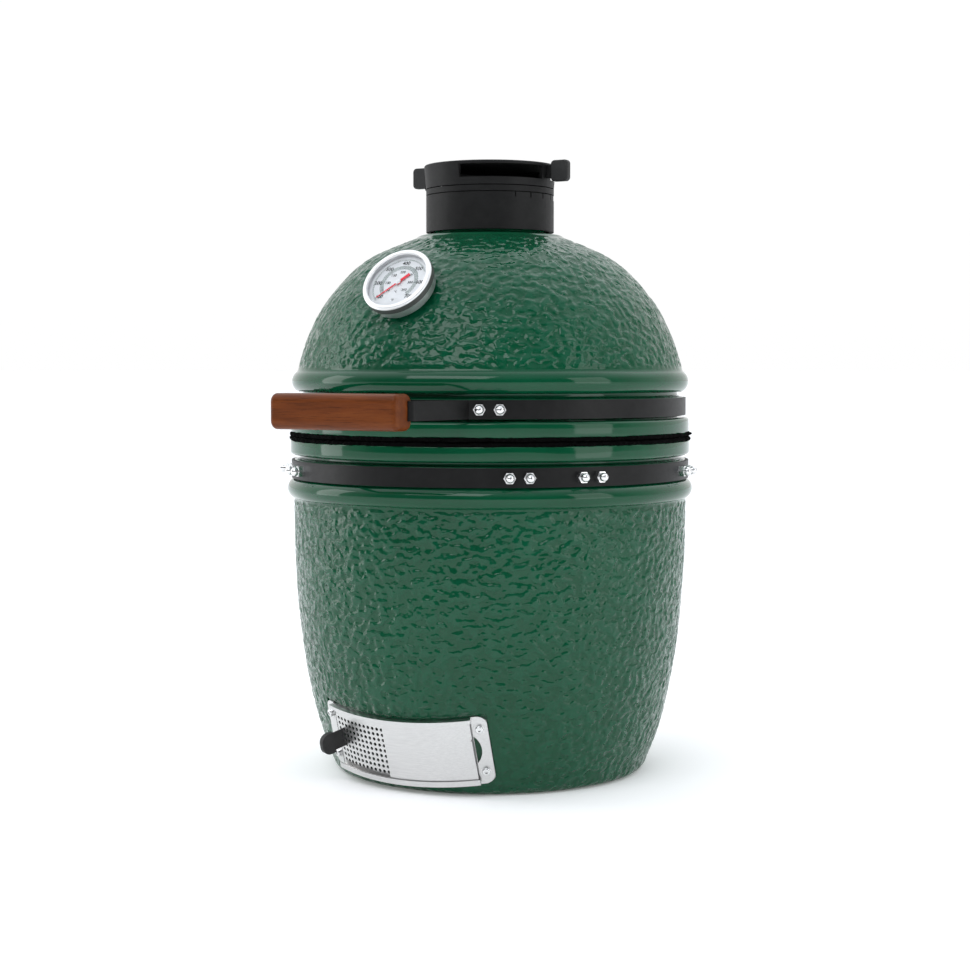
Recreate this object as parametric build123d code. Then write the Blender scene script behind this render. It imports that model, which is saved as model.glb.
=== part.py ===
from build123d import *
import os
from math import acos, atan2, cos, degrees, hypot, pi, radians, sin, sqrt

# A small ceramic charcoal grill of the egg-shaped kind: base and hinged dome, steel bands, gauge, handle,
# draft door and top vent. Millimetres, +Z up, the origin at the middle of the foot's resting face. The front,
# with the handle, the gauge and the draft door, faces -Y. Azimuths run from the front round towards +X.

# ceramic shells
FOOT_R = 148.0
BASE_OUTER = [(160, 9.5), (176.6, 58.4), (190.8, 131.7), (196.3, 205), (198.4, 274.5)]
BASE_INNER = [(147, 34), (165, 100), (174.5, 205), (177, 318)]
BASE_FLOOR_Z = 28.0
RIM_Z = 332.5
RIM_R = 201.7
BASE_BEAD_Z = (274.5, 294.5)
BASE_BEAD_R = 205.0
BASE_GROOVE_R = 198.0
BASE_GROOVE_TOP = 318.2
BASE_UNDERCUT_R = 192.5
DOME_RIM_Z = 340.7
DOME_RIM_R = 201.0
DOME_GROOVE_Z = 355.2
DOME_UNDERCUT_R = 189.5
DOME_GROOVE_R = 195.0
DOME_BEAD_Z = (381.6, 401.5)
DOME_BEAD_R = 200.4
DOME_OUTER = [(195.0, 401.5), (183.2, 437.1), (162.9, 473.7), (127, 510.4), (76, 534.6)]
DOME_INNER = [(178, 353), (175, 385), (159, 440), (118, 488), (60, 519)]
MOUTH_R = 178.0
STEM_HOLE_R = 5.0
NECK_R = 57.0
NECK_BORE_R = 44.0
NECK_TOP = 574.0
SHOULDER_Z = 537.2

# felt, bands and their nuts
GASKET_R = (180.0, 202.0)
PARTING_Z = 336.6
FELT_GAP = 0.3
BAND_T = 3.0
BAND_W = 18.0
LOWER_BAND_Z = 304.0
UPPER_BAND_W = 17.6
UPPER_BAND_Z = 366.6
BAND_SPLIT = 12.0
STUD_R = 3.0
STUD_OUT = 10.0
NUT_AF = 10.0
NUT_H = 6.0
NUT_DOME_R = 4.2
NUT_NECK_H = 2.6
BAND_PLAY = 0.5
LOWER_STUD_AZ = [35.0, 40.2, 54.8, 60.2, 97.0, 103.0]
HINGE_STUD_AZ = [159.5, 164.5]

# dome hinge
PIVOT_Y = 232.0
PIVOT_Z = PARTING_Z
PIN_R = 4.0
PIN_CLEARANCE = 0.05
PIN_HALF = 50.0
HINGE_PLATE_AZ = 24.0
LOWER_EAR_X = (38.0, 42.0)
UPPER_EAR_X = (32.0, 36.0)
EAR_R = 9.0
LOWER_EAR_Y = (194.0, 203.0, 215.0)
UPPER_EAR_Y = (192.0, 206.0, 203.0)
CLIP_X = 45.0
CLIP_R = 7.0
CLIP_T = 1.0
CLIP_MOUTH = 4.5
PIN_GROOVE = 0.8
SPRING_R = 8.0
SPRING_WIRE_R = 1.2
SPRING_X = (9.0, 29.0)
SPRING_TURNS = 7
SPRING_FEET_Y = (202.5, 205.5)
SPRING_FOOT_GAP = 1.8

# handle
GRIP_SIZE = (136.5, 28.0, 33.0)
GRIP_CENTRE = (0.0, -269.0, 365.5)
GRIP_ROUND = 8.0
GRIP_END_ROUND = 4.5
TANG_Y = -262.0
TANG_REACH = 38.5
LEG_OUT = 71.8
GRIP_SCREW_X = (44.0, 56.0)
GRIP_SCREW_R = 2.0
GRIP_SCREW_LENGTH = 18.0
GRIP_HEAD_R = 3.8
GRIP_SLOT_LENGTH = 50.0
CROSS_LENGTH = 4.4
CROSS_WIDTH = 0.9
CROSS_DEPTH = 1.2
LEG_HALF = 1.5
LEG_ROOT = (3.2, -1.6)
INNER_BEND_R = 3.0
OUTER_BEND_R = 6.0
LUG_AZ = (23.9, 35.1)
LUG_LENGTH = 60.0
LUG_CORNER = 3.0
LUG_BOLT_AZ = [27.3, 32.5]

# thermometer, on the dome's front
GAUGE_FACE = (0.0, -175.0, 487.5)
GAUGE_TILT = 36.0
GAUGE_R = 35.6
CASE_R = 32.6
GAUGE_BACK = -17.3
CASE_WALL = 1.2
BEZEL_BACK = -7.5
BEZEL_TOP = 0.8
BEZEL_BORE_R = (31.2, 30.4)
GLASS_R = 31.3
GLASS_Z = (-1.9, -0.95)
DIAL_Z = (-6.0, -5.5)
DIAL_BORE_R = 0.8
NEEDLE_LENGTH = 25.5
TAIL_LENGTH = 13.0
TAIL_HALF = 1.5
HUB_R = 2.4
HAND_T = 0.5
STEM_R = 3.0
STEM_END = -80.0
STEM_SHOULDER_R = 5.0
GAUGE_NUT_Z = -52.0
GAUGE_NUT_R = 7.0
GAUGE_NUT_H = 5.0
GAUGE_WASHER_R = 10.0
GAUGE_WASHER_T = 1.2

# draft door: a cylinder leaning back with the egg's side
DRAFT_LEAN = 17.0
DRAFT_R = 178.0
DRAFT_TURN = -1.2
DRAFT_Y = -169.95
DRAFT_Z = 42.2
DRAFT_HALF = 30.4
STOP_PSI = 25.8
RAIL_H = 67.5
RAIL_T = 2.0
LIP_LOW_H = 5.5
LIP_HIGH_H = 3.4
SLIDE_MARGIN = 2.3
POCKET_DEPTH = 14.0
POCKET_MARGIN = 1.6
FRAME_SCREW_PSI = 27.9
FRAME_SCREW_H = 21.8
FRAME_SCREW_R = 1.98
FRAME_SCREW_LENGTH = 14.0
BUTTON_R = 4.0
BUTTON_H = 2.8
WASHER_R = 4.7
WASHER_T = 0.8
PLATE_R = (178.2, 179.4)
SCREEN_R = (179.8, 180.8)
DOOR_R = (182.9, 183.9)
LIP_R = (184.3, 185.5)
SCREEN_PSI = (-25.3, -0.7)
DOOR_PSI = (-3.0, 25.4)
TAB_PSI = -22.85
TAB_LENGTH = 24.0
TAB_HALF = 9.0
TAB_T = 1.2
COVER_START = 12.0
COVER_LENGTH = 14.0
COVER_HALF = 10.5
COVER_T = 5.2
DOOR_LIP_H = 2.6
DOOR_LIP_HALF = 13.0
DOOR_LIP_PSI = 0.4
HOLE_PSI = -24.6
HOLE_HALF = 26.6
TUNNEL_HALF = 22.0
FLANGE_T = 1.2
FLANGE_CORNER = 9.0
NOTCH_R = 19.3
NOTCH_DEPTH = 6.0
SCREEN_COLUMNS = 12
SCREEN_ROWS = 9
SCREEN_PITCH = 5.6
SCREEN_HOLE_R = 1.7
FIRST_COLUMN_PSI = -23.75
ROWS_DOWN = 2.0

# top vent
SLEEVE_R = 64.5
SLEEVE_BORE_R = 60.5
SLEEVE_Z = (541.0, 577.2)
TICK_AZ = [53.0, 69.0, 85.0, 101.0, 117.0]
SCALE_AZ = (41.0, 131.0)
ROTOR_Z = (578.1, 583.6)
HOOD_Z = (584.5, 608.0)
HOOD_TOP_R = 66.4
HOOD_WALL = 2.8
WINDOW_Z = (591.5, 604.6)
WINDOWS_AZ = [(2.0, 82.0), (98.0, 150.0)]
ARM_Z = 599.0
ARM_REACH = 87.5
VENT_PIVOT = (-67.5, 588.0)
PETAL_DEG = 58.0
PETAL_R = (12.0, 42.0)
PLATE_T = 2.0
VENT_BOLT_R = 2.95
VENT_BOLT_HEAD = (5.0, 4.0)
ROTOR_R = (57.5, 60.0)
SEAL_Z = (545.0, 570.0)
TICK_SIZE = (1.3, 6.0, 3.4)
SCALE_DEPTH = 0.4
SCALE_H = 5.0
HOOD_PIN_R = 1.5
CHEEK_Y = 8.0
CHEEK_R = 3.6
KNUCKLE_R = 3.5
ARM_T = 3.0
ARM_H = 13.0
TAB_COVER_X = 80.5
TAB_COVER_SIZE = (19.0, 7.0, 21.0)

# charcoal parts inside
FIRE_RING_TOP = 298.0
GRATE_Z = 72.0
GRATE_R = 62.0
GRID_R = 165.0
GRID_WIRE_R = 3.0
GRID_BAR_R = 2.0
GRID_BAR_PITCH = 16.0
GRID_CROSS_Y = (-70.0, 70.0)
GRID_GAP = 0.3
FIRE_BOX_OUTSIDE = [(102.0, 28.0), (126.0, 28.0), (150.0, 201.0), (149.0, 205.0)]
FIRE_BOX_INSIDE = [(132.0, 205.0), (112.0, 90.0), (110.0, 60.0), (102.0, 60.0)]
FIRE_PLATE_R = (54.0, 109.9)
FIRE_PLATE_Z = (60.0, 78.0)
GRATE_SEAT_R = 63.0
FIRE_BOX_HOLES = 10
FIRE_BOX_HOLE_R = 6.0
FIRE_BOX_HOLE_Z = 112.0
FIRE_BOX_DOOR = (84.0, 90.0, 33.0)
FIRE_BOX_DOOR_Z = 43.5
FIRE_RING_OUTLINE = [(132.0, 205.0), (149.0, 205.0), (169.0, 294.0), (168.0, 298.0), (150.0, 298.0)]
GRATE_T = 6.0
GRATE_PITCH = 12.0
GRATE_RIM = 7.0


def export(name, shape):
    """Write one sub-part to its own STEP file."""
    export_step(shape, f"parts/{name}.step")


def around(az, r, z):
    """The plane on the egg's side at an azimuth: x runs round towards +X, y is up and z points outwards."""
    a = radians(az)
    return Plane(origin=(r * sin(a), -r * cos(a), z), x_dir=(cos(a), sin(a), 0), z_dir=(sin(a), -cos(a), 0))


def turned(*edges):
    """The full turn about Z of the outline that the lines and curves close, x the radius and y the height."""
    return revolve(Plane.XZ * make_face(edges), Axis.Z)


def ring(r0, r1, z0, z1):
    """A plain ring about Z."""
    return Pos(0, 0, z0) * extrude(Circle(r1) - Circle(r0), z1 - z0)


def disc(r, z0, z1):
    """A plain disc about Z."""
    return Pos(0, 0, z0) * extrude(Circle(r), z1 - z0)


def sector(r0, r1, z0, z1, az0, az1):
    """The part of a ring between two azimuths."""
    face = Plane.XZ * (Pos((r0 + r1) / 2, (z0 + z1) / 2) * Rectangle(r1 - r0, z1 - z0))
    return Rot(0, 0, az0 - 90) * revolve(face, Axis.Z, az1 - az0)


def rod(plane, r, z0, z1):
    """A round rod along the plane's normal, between two distances from the plane."""
    return plane * (Pos(0, 0, z0) * extrude(Circle(r), z1 - z0))


def cap_nut(plane):
    """A domed hexagon nut that stands on the plane, with a blind bore for its stud."""
    hexagon = extrude(RegularPolygon(NUT_AF / 2, 6, major_radius=False), NUT_H)
    dome = extrude(Circle(NUT_DOME_R), NUT_NECK_H) + Pos(0, 0, NUT_NECK_H) * Sphere(NUT_DOME_R)
    nut = hexagon + Pos(0, 0, NUT_H) * dome - extrude(Circle(STUD_R + 0.05), STUD_OUT + 0.6)
    return plane * nut


def mirrored_azimuths(azimuths):
    """Each azimuth and its mirror image across the front."""
    return [side * az for side in (1, -1) for az in azimuths]


# ------------------------------------------------------------------------------------ ceramic shells


def draft_plane():
    """The leaning plane of the draft door, at the middle of its height, on the axis of its curved plates."""
    t, turn = radians(DRAFT_LEAN), radians(DRAFT_TURN)
    origin = (0, DRAFT_Y + DRAFT_R * cos(t), DRAFT_Z + DRAFT_R * sin(t))
    axis = (sin(t) * sin(turn), -sin(t) * cos(turn), cos(t))
    return Plane(origin=origin, x_dir=(cos(turn), sin(turn), 0), z_dir=axis)


def draft_sector(r, half_height, psi):
    """A curved plate of the draft door, between two radii and two angles round its own axis."""
    return draft_plane() * sector(r[0], r[1], -half_height, half_height, psi[0], psi[1])


def draft_tunnel():
    """The air hole through the base: a shallow chamber behind the screen and a passage on into the egg."""
    width = DRAFT_R * sin(radians(-HOLE_PSI)) - 1
    chamber = Pos(-width / 2 - 1, -173, 0) * Box(width, 34, 2 * HOLE_HALF)
    passage = Pos(-width / 2 - 1, -150, 0) * Box(width - 6, 100, 2 * TUNNEL_HALF)
    return draft_plane() * (chamber + passage)


def draft_screw_planes():
    """The four screws' planes, on the flanges of the draft frame."""
    planes = []
    for psi in (-FRAME_SCREW_PSI, FRAME_SCREW_PSI):
        for height in (-FRAME_SCREW_H, FRAME_SCREW_H):
            planes.append(draft_plane() * around(psi, PLATE_R[1], height))
    return planes


def base_shell():
    bead_mid = sum(BASE_BEAD_Z) / 2
    outer = Spline(*BASE_OUTER, tangents=[(0.32, 1), (0, 1)])
    foot = TangentArc((FOOT_R, 0), BASE_OUTER[0], tangent=(1, 0))
    bead_in = Line(BASE_OUTER[-1], (198.4, BASE_BEAD_Z[0] + 0.01))
    bead = ThreePointArc(bead_in @ 1, (BASE_BEAD_R, bead_mid), (BASE_GROOVE_R, BASE_BEAD_Z[1]))
    band_top = LOWER_BAND_Z + BAND_W / 2
    rim = Polyline(
        bead @ 1, (BASE_GROOVE_R, band_top + BAND_PLAY), (BASE_UNDERCUT_R, band_top + 2),
        (BASE_UNDERCUT_R, BASE_GROOVE_TOP), (RIM_R - 2, BASE_GROOVE_TOP), (RIM_R, BASE_GROOVE_TOP + 2),
        (RIM_R, RIM_Z), (MOUTH_R + 2, RIM_Z), (MOUTH_R, RIM_Z - 2), BASE_INNER[-1],
    )
    inner = Spline(*reversed(BASE_INNER), tangents=[(0, -1), (-0.5, -1)])
    floor = Polyline(inner @ 1, (140, BASE_FLOOR_Z), (0, BASE_FLOOR_Z), (0, 0), (FOOT_R, 0))
    shell = turned(foot, outer, bead_in, bead, rim, inner, floor)
    reach = DRAFT_HALF + 0.3
    pocket = draft_sector((DRAFT_R, DRAFT_R + POCKET_DEPTH), RAIL_H / 2 + POCKET_MARGIN, (-reach, reach))
    shell = shell - pocket - draft_tunnel()
    for plane in draft_screw_planes():
        shell -= rod(plane, 2.0, -16, 1)
    return shell


def dome_shell():
    bead_mid = sum(DOME_BEAD_Z) / 2
    band_low, band_top = UPPER_BAND_Z - UPPER_BAND_W / 2, UPPER_BAND_Z + UPPER_BAND_W / 2
    rim = Polyline(
        (MOUTH_R + 2, DOME_RIM_Z), (DOME_RIM_R, DOME_RIM_Z), (DOME_RIM_R, DOME_GROOVE_Z - 2),
        (DOME_RIM_R - 2, DOME_GROOVE_Z), (DOME_UNDERCUT_R, DOME_GROOVE_Z), (DOME_UNDERCUT_R, band_low - 1.2),
        (DOME_GROOVE_R, band_low - 0.2), (DOME_GROOVE_R, band_top + BAND_PLAY), (DOME_UNDERCUT_R, band_top + 2),
        (DOME_UNDERCUT_R, DOME_BEAD_Z[0]), (DOME_GROOVE_R, DOME_BEAD_Z[0]),
    )
    bead = ThreePointArc(rim @ 1, (DOME_BEAD_R, bead_mid), DOME_OUTER[0])
    outer = Spline(*DOME_OUTER, tangents=[(-0.2, 1), (-1, 0.4)])
    roll = ThreePointArc(outer @ 1, (73.5, 536.6), (70, SHOULDER_Z))
    neck = Polyline(
        roll @ 1, (NECK_R, SHOULDER_Z), (NECK_R, NECK_TOP), (NECK_BORE_R, NECK_TOP), (NECK_BORE_R, 524),
        DOME_INNER[-1],
    )
    inner = Spline(*reversed(DOME_INNER), tangents=[(1, -0.25), (0, -1)])
    mouth = Polyline(inner @ 1, (MOUTH_R, DOME_RIM_Z + 2), rim @ 0)
    shell = turned(rim, bead, outer, roll, neck, inner, mouth)
    return shell - rod(gauge_plane(), STEM_HOLE_R, STEM_END - 10, 5)


def base_gasket():
    return ring(*GASKET_R, RIM_Z, PARTING_Z - FELT_GAP / 2)


def dome_gasket():
    return ring(*GASKET_R, PARTING_Z + FELT_GAP / 2, DOME_RIM_Z)


# ------------------------------------------------------------------------------------ bands and nuts


def band(groove_r, z, width, stud_azimuths):
    """A split clamping band, open at the back, with a hole for each stud."""
    reach = 180 - BAND_SPLIT
    strip = sector(groove_r, groove_r + BAND_T, z - width / 2, z + width / 2, -reach, reach)
    for az in stud_azimuths:
        strip -= rod(around(az, groove_r, z), STUD_R + 0.05, -1, BAND_T + 1)
    return strip


def lower_band():
    return band(BASE_GROOVE_R, LOWER_BAND_Z, BAND_W, mirrored_azimuths(LOWER_STUD_AZ + HINGE_STUD_AZ))


def upper_band():
    return band(DOME_GROOVE_R, UPPER_BAND_Z, UPPER_BAND_W, mirrored_azimuths(LUG_BOLT_AZ + HINGE_STUD_AZ))


def studs(azimuths, groove_r, z, plate):
    """Threaded studs that stand on the ceramic, through the band and a plate on it."""
    reach = BAND_T + plate + STUD_OUT
    return Compound([rod(around(az, groove_r, z), STUD_R, 0.1, reach) for az in mirrored_azimuths(azimuths)])


def stud_nuts(azimuths, groove_r, z, plate):
    """Cap nuts on studs, seated on the band or on a plate that lies on it."""
    return Compound([cap_nut(around(az, groove_r + BAND_T + plate, z)) for az in mirrored_azimuths(azimuths)])


# ------------------------------------------------------------------------------------ dome hinge


def hinge_plate(band_r, z, width):
    """The curved plate across a band's gap at the back, drilled for its studs."""
    r0 = band_r + BAND_T
    plate = sector(r0, r0 + BAND_T, z - width / 2, z + width / 2, 180 - HINGE_PLATE_AZ, 180 + HINGE_PLATE_AZ)
    for az in mirrored_azimuths(HINGE_STUD_AZ):
        plate -= rod(around(az, r0, z), STUD_R + 0.05, -1, BAND_T + 1)
    return plate


def ear(x, outline):
    """One ear of the hinge: the outline in the YZ plane with a round end about the pin."""
    blade = Plane.YZ * (make_face(Polyline(*outline, close=True)) + Pos(PIVOT_Y, PIVOT_Z) * Circle(EAR_R))
    return Pos(x[0], 0, 0) * extrude(blade, x[1] - x[0])


def hinge_lower_bracket():
    z0, z1 = LOWER_BAND_Z - BAND_W / 2, LOWER_BAND_Z + BAND_W / 2
    bracket = hinge_plate(BASE_GROOVE_R, LOWER_BAND_Z, BAND_W)
    root, top, foot = LOWER_EAR_Y
    front, back = PIVOT_Y - EAR_R, PIVOT_Y + EAR_R
    outline = [(root, z0), (root, z1), (top, z1), (front, PIVOT_Z), (back, PIVOT_Z), (foot, z0)]
    for x in (LOWER_EAR_X, (-LOWER_EAR_X[1], -LOWER_EAR_X[0])):
        bracket += ear(x, outline) - disc(BASE_GROOVE_R + BAND_T, z0 - 1, PIVOT_Z)
    return bracket - Plane.YZ * (Pos(PIVOT_Y, PIVOT_Z) * extrude(Circle(PIN_R), 100, both=True))


def hinge_upper_bracket():
    z0, z1 = UPPER_BAND_Z - UPPER_BAND_W / 2, UPPER_BAND_Z + UPPER_BAND_W / 2
    bracket = hinge_plate(DOME_GROOVE_R, UPPER_BAND_Z, UPPER_BAND_W)
    root, top, foot = UPPER_EAR_Y
    front, back = PIVOT_Y - EAR_R, PIVOT_Y + EAR_R
    outline = [(root, z0), (root, z1), (top, z1), (back, PIVOT_Z), (front, PIVOT_Z), (foot, z0)]
    for x in (UPPER_EAR_X, (-UPPER_EAR_X[1], -UPPER_EAR_X[0])):
        bracket += ear(x, outline) - disc(DOME_GROOVE_R + BAND_T, PIVOT_Z, z1 + 1)
    bore = extrude(Circle(PIN_R + PIN_CLEARANCE), 100, both=True)
    return bracket - Plane.YZ * (Pos(PIVOT_Y, PIVOT_Z) * bore)


def hinge_pin():
    pin = extrude(Circle(PIN_R), PIN_HALF, both=True)
    groove = extrude(Circle(PIN_R + 1) - Circle(PIN_R - PIN_GROOVE), CLIP_T / 2 + 0.1, both=True)
    for x in (-CLIP_X, CLIP_X):
        pin -= Pos(0, 0, x) * groove
    return Plane.YZ * (Pos(PIVOT_Y, PIVOT_Z) * pin)


def hinge_pin_clips():
    bore = PIN_R - PIN_GROOVE + 0.05
    outline = Circle(CLIP_R) - Circle(bore) - Pos(0, 1 - CLIP_R) * Rectangle(CLIP_MOUTH, 8)
    clip = extrude(outline, CLIP_T / 2, both=True)
    return Compound([Plane.YZ * (Pos(PIVOT_Y, PIVOT_Z, x) * clip) for x in (-CLIP_X, CLIP_X)])


def hinge_spring():
    """The right torsion spring on the pin: a wire coil with a leg under each curved plate's edge."""
    heights = [UPPER_BAND_Z - UPPER_BAND_W / 2 - SPRING_FOOT_GAP, LOWER_BAND_Z + BAND_W / 2 + SPRING_FOOT_GAP]
    targets = list(zip(SPRING_FEET_Y, heights))
    turns = [atan2(z - PIVOT_Z, y - PIVOT_Y) for y, z in targets]
    reach = [hypot(y - PIVOT_Y, z - PIVOT_Z) for y, z in targets]
    start = turns[0] - acos(SPRING_R / reach[0])
    end = turns[1] + acos(SPRING_R / reach[1])
    swept = SPRING_TURNS + ((start - end) / (2 * pi)) % 1
    length = SPRING_X[1] - SPRING_X[0]
    coil = Helix(length / swept, length, SPRING_R)
    legs = [sqrt(r**2 - SPRING_R**2) for r in reach]
    path = Wire([
        Line(coil @ 0 - (coil % 0) * legs[0], coil @ 0).edge(),
        coil.edge(),
        Line(coil @ 1, coil @ 1 + (coil % 1) * legs[1]).edge(),
    ])
    wire = sweep(Plane(origin=path @ 0, z_dir=path % 0) * Circle(SPRING_WIRE_R), path=path)
    frame = Plane(origin=(SPRING_X[1], PIVOT_Y, PIVOT_Z), x_dir=(0, cos(start), sin(start)), z_dir=(-1, 0, 0))
    return frame * wire


# ------------------------------------------------------------------------------------ handle


def handle_bracket_right():
    """A flat bar bent in three: a lug on the band, a leg forwards and a tang into the grip's end."""
    r0 = DOME_GROOVE_R + BAND_T
    a0 = radians(LUG_AZ[0])
    middle = sum(LUG_AZ) / 2
    lug_half = r0 * radians(LUG_AZ[1] - LUG_AZ[0]) / 2
    lug = sector(r0, r0 + BAND_T, UPPER_BAND_Z - UPPER_BAND_W / 2, UPPER_BAND_Z + UPPER_BAND_W / 2, *LUG_AZ)
    rounded_end = Pos(lug_half - LUG_LENGTH / 2, 0) * RectangleRounded(LUG_LENGTH, UPPER_BAND_W, LUG_CORNER)
    lug &= around(middle, r0 - 5, UPPER_BAND_Z) * extrude(rounded_end, 20)
    root = (r0 * sin(a0), -r0 * cos(a0))
    foot = Polyline(
        root, (root[0] + LEG_ROOT[0], root[1] + LEG_ROOT[1]), (LEG_OUT + LEG_HALF, TANG_Y - LEG_HALF),
        (TANG_REACH, TANG_Y - LEG_HALF), (TANG_REACH, TANG_Y + LEG_HALF),
        (LEG_OUT - LEG_HALF, TANG_Y + LEG_HALF), close=True,
    )
    bar = extrude(make_face(foot), UPPER_BAND_W) - disc(r0, -1, UPPER_BAND_W + 1)
    bends = [edge for edge in bar.edges().filter_by(Axis.Z) if abs(edge.center().X - LEG_OUT) < 2]
    inner_bend = min(bends, key=lambda edge: edge.center().X)
    bar = fillet([inner_bend], INNER_BEND_R)
    outer_bend = max(bar.edges().filter_by(Axis.Z), key=lambda edge: edge.center().X - edge.center().Y * 2)
    bar = fillet([outer_bend], OUTER_BEND_R)
    bracket = Pos(0, 0, UPPER_BAND_Z - UPPER_BAND_W / 2) * bar + lug
    for az in LUG_BOLT_AZ:
        bracket -= rod(around(az, r0, UPPER_BAND_Z), STUD_R + 0.05, -1, BAND_T + 1)
    for x in GRIP_SCREW_X:
        hole = Rot(90, 0, 0) * extrude(Circle(GRIP_SCREW_R + 0.1), 6, both=True)
        bracket -= Pos(x, TANG_Y, GRIP_CENTRE[2]) * hole
    return bracket


def handle_bracket_left():
    return mirror(handle_bracket_right(), Plane.YZ)


def handle_grip():
    length, thick, height = GRIP_SIZE
    bar = Box(length, thick, height)
    bar = fillet(bar.edges().filter_by(Axis.X), GRIP_ROUND)
    bar = fillet(bar.faces().filter_by(Axis.X).edges(), GRIP_END_ROUND)
    grip = Pos(*GRIP_CENTRE) * bar
    slot = Box(GRIP_SLOT_LENGTH, BAND_T + 0.3, UPPER_BAND_W + 0.4)
    slot_x = TANG_REACH - 0.4 + GRIP_SLOT_LENGTH / 2
    for side in (-1, 1):
        grip -= Pos(side * slot_x, TANG_Y, UPPER_BAND_Z) * slot
        for x in GRIP_SCREW_X:
            grip -= screw_at(side * x, 0.02)
    return grip


def screw_at(x, extra=0.0):
    """A countersunk screw from the grip's back face, through the tang and into the wood in front of it."""
    back = GRIP_CENTRE[1] + GRIP_SIZE[1] / 2
    shank = extrude(Circle(GRIP_SCREW_R + extra), GRIP_SCREW_LENGTH)
    body = shank + extrude(Circle(GRIP_HEAD_R + extra), 2.0, taper=40)
    return Plane(origin=(x, back, GRIP_CENTRE[2]), x_dir=(1, 0, 0), z_dir=(0, -1, 0)) * body


def handle_screws():
    back = GRIP_CENTRE[1] + GRIP_SIZE[1] / 2
    upright = Box(CROSS_WIDTH, 2 * CROSS_DEPTH, CROSS_LENGTH)
    level = Box(CROSS_LENGTH, 2 * CROSS_DEPTH, CROSS_WIDTH)
    screws = []
    for x in (side * place for side in (-1, 1) for place in GRIP_SCREW_X):
        head = Pos(x, back, GRIP_CENTRE[2])
        screws.append(screw_at(x) - head * upright - head * level)
    return Compound(screws)


# ------------------------------------------------------------------------------------ thermometer


def gauge_plane():
    """The dial's plane: x to the right as it is read, y up the dial and z out of it."""
    e = radians(GAUGE_TILT)
    return Plane(origin=GAUGE_FACE, x_dir=(1, 0, 0), z_dir=(0, -cos(e), sin(e)))


def gauge_case():
    cup = Pos(0, 0, GAUGE_BACK) * extrude(Circle(CASE_R), -GAUGE_BACK - 2)
    cup -= Pos(0, 0, GAUGE_BACK + CASE_WALL) * extrude(Circle(CASE_R - CASE_WALL), -GAUGE_BACK)
    cup -= Pos(0, 0, GAUGE_BACK - 1) * extrude(Circle(STEM_R), 4)
    return gauge_plane() * cup


def gauge_bezel():
    rim = Polyline((CASE_R + 0.05, BEZEL_BACK), (GAUGE_R, BEZEL_BACK), (GAUGE_R, -1.5))
    lip = RadiusArc(rim @ 1, (GAUGE_R - 2.5, BEZEL_TOP), -2.6)
    bore = [(BEZEL_BORE_R[0], BEZEL_TOP), (BEZEL_BORE_R[1], -0.9)]
    inside = Polyline(lip @ 1, *bore, (CASE_R + 0.05, -0.9), rim @ 0)
    return gauge_plane() * revolve(Plane.XZ * make_face([rim, lip, inside]), Axis.Z)


def gauge_dial():
    disc_outline = Circle(GLASS_R) - Circle(DIAL_BORE_R)
    return gauge_plane() * (Pos(0, 0, DIAL_Z[0]) * extrude(disc_outline, DIAL_Z[1] - DIAL_Z[0]))


def gauge_glass():
    return gauge_plane() * (Pos(0, 0, GLASS_Z[0]) * extrude(Circle(GLASS_R), GLASS_Z[1] - GLASS_Z[0]))


def gauge_pointer():
    """The needle, its tail, its hub and the short shaft through the dial; it points at the scale's start."""
    right = [(0.35, NEEDLE_LENGTH), (0.8, 0), (1.3, -4), (TAIL_HALF, -TAIL_LENGTH)]
    left = [(-x, y) for x, y in reversed(right)]
    hand = Pos(0, 0, -4.4) * extrude(make_face(Polyline(*right, *left, close=True)), HAND_T)
    hub = Pos(0, 0, -4.7) * extrude(Circle(HUB_R), 1.3)
    shaft = Pos(0, 0, -8.0) * extrude(Circle(DIAL_BORE_R - 0.05), 4)
    return gauge_plane() * (Rot(0, 0, 135) * (hand + hub + shaft))


def gauge_stem():
    shank = Pos(0, 0, STEM_END) * extrude(Circle(STEM_R), -STEM_END + GAUGE_BACK + 2.4)
    tip = Pos(0, 0, STEM_END) * Sphere(STEM_R)
    shoulder = Pos(0, 0, GAUGE_BACK + CASE_WALL + 0.05) * extrude(Circle(STEM_SHOULDER_R), 1.1)
    return gauge_plane() * (shank + tip + shoulder)


def gauge_nut():
    """The wing nut and washer that hold the stem from inside the dome."""
    nut = extrude(RegularPolygon(GAUGE_NUT_R, 6, major_radius=False), GAUGE_NUT_H)
    nut += Pos(0, 0, GAUGE_NUT_H) * extrude(Circle(GAUGE_WASHER_R), GAUGE_WASHER_T)
    nut -= extrude(Circle(STEM_R + 0.03), 20, both=True)
    return gauge_plane() * (Pos(0, 0, GAUGE_NUT_Z) * nut)


# ------------------------------------------------------------------------------------ draft door


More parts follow.
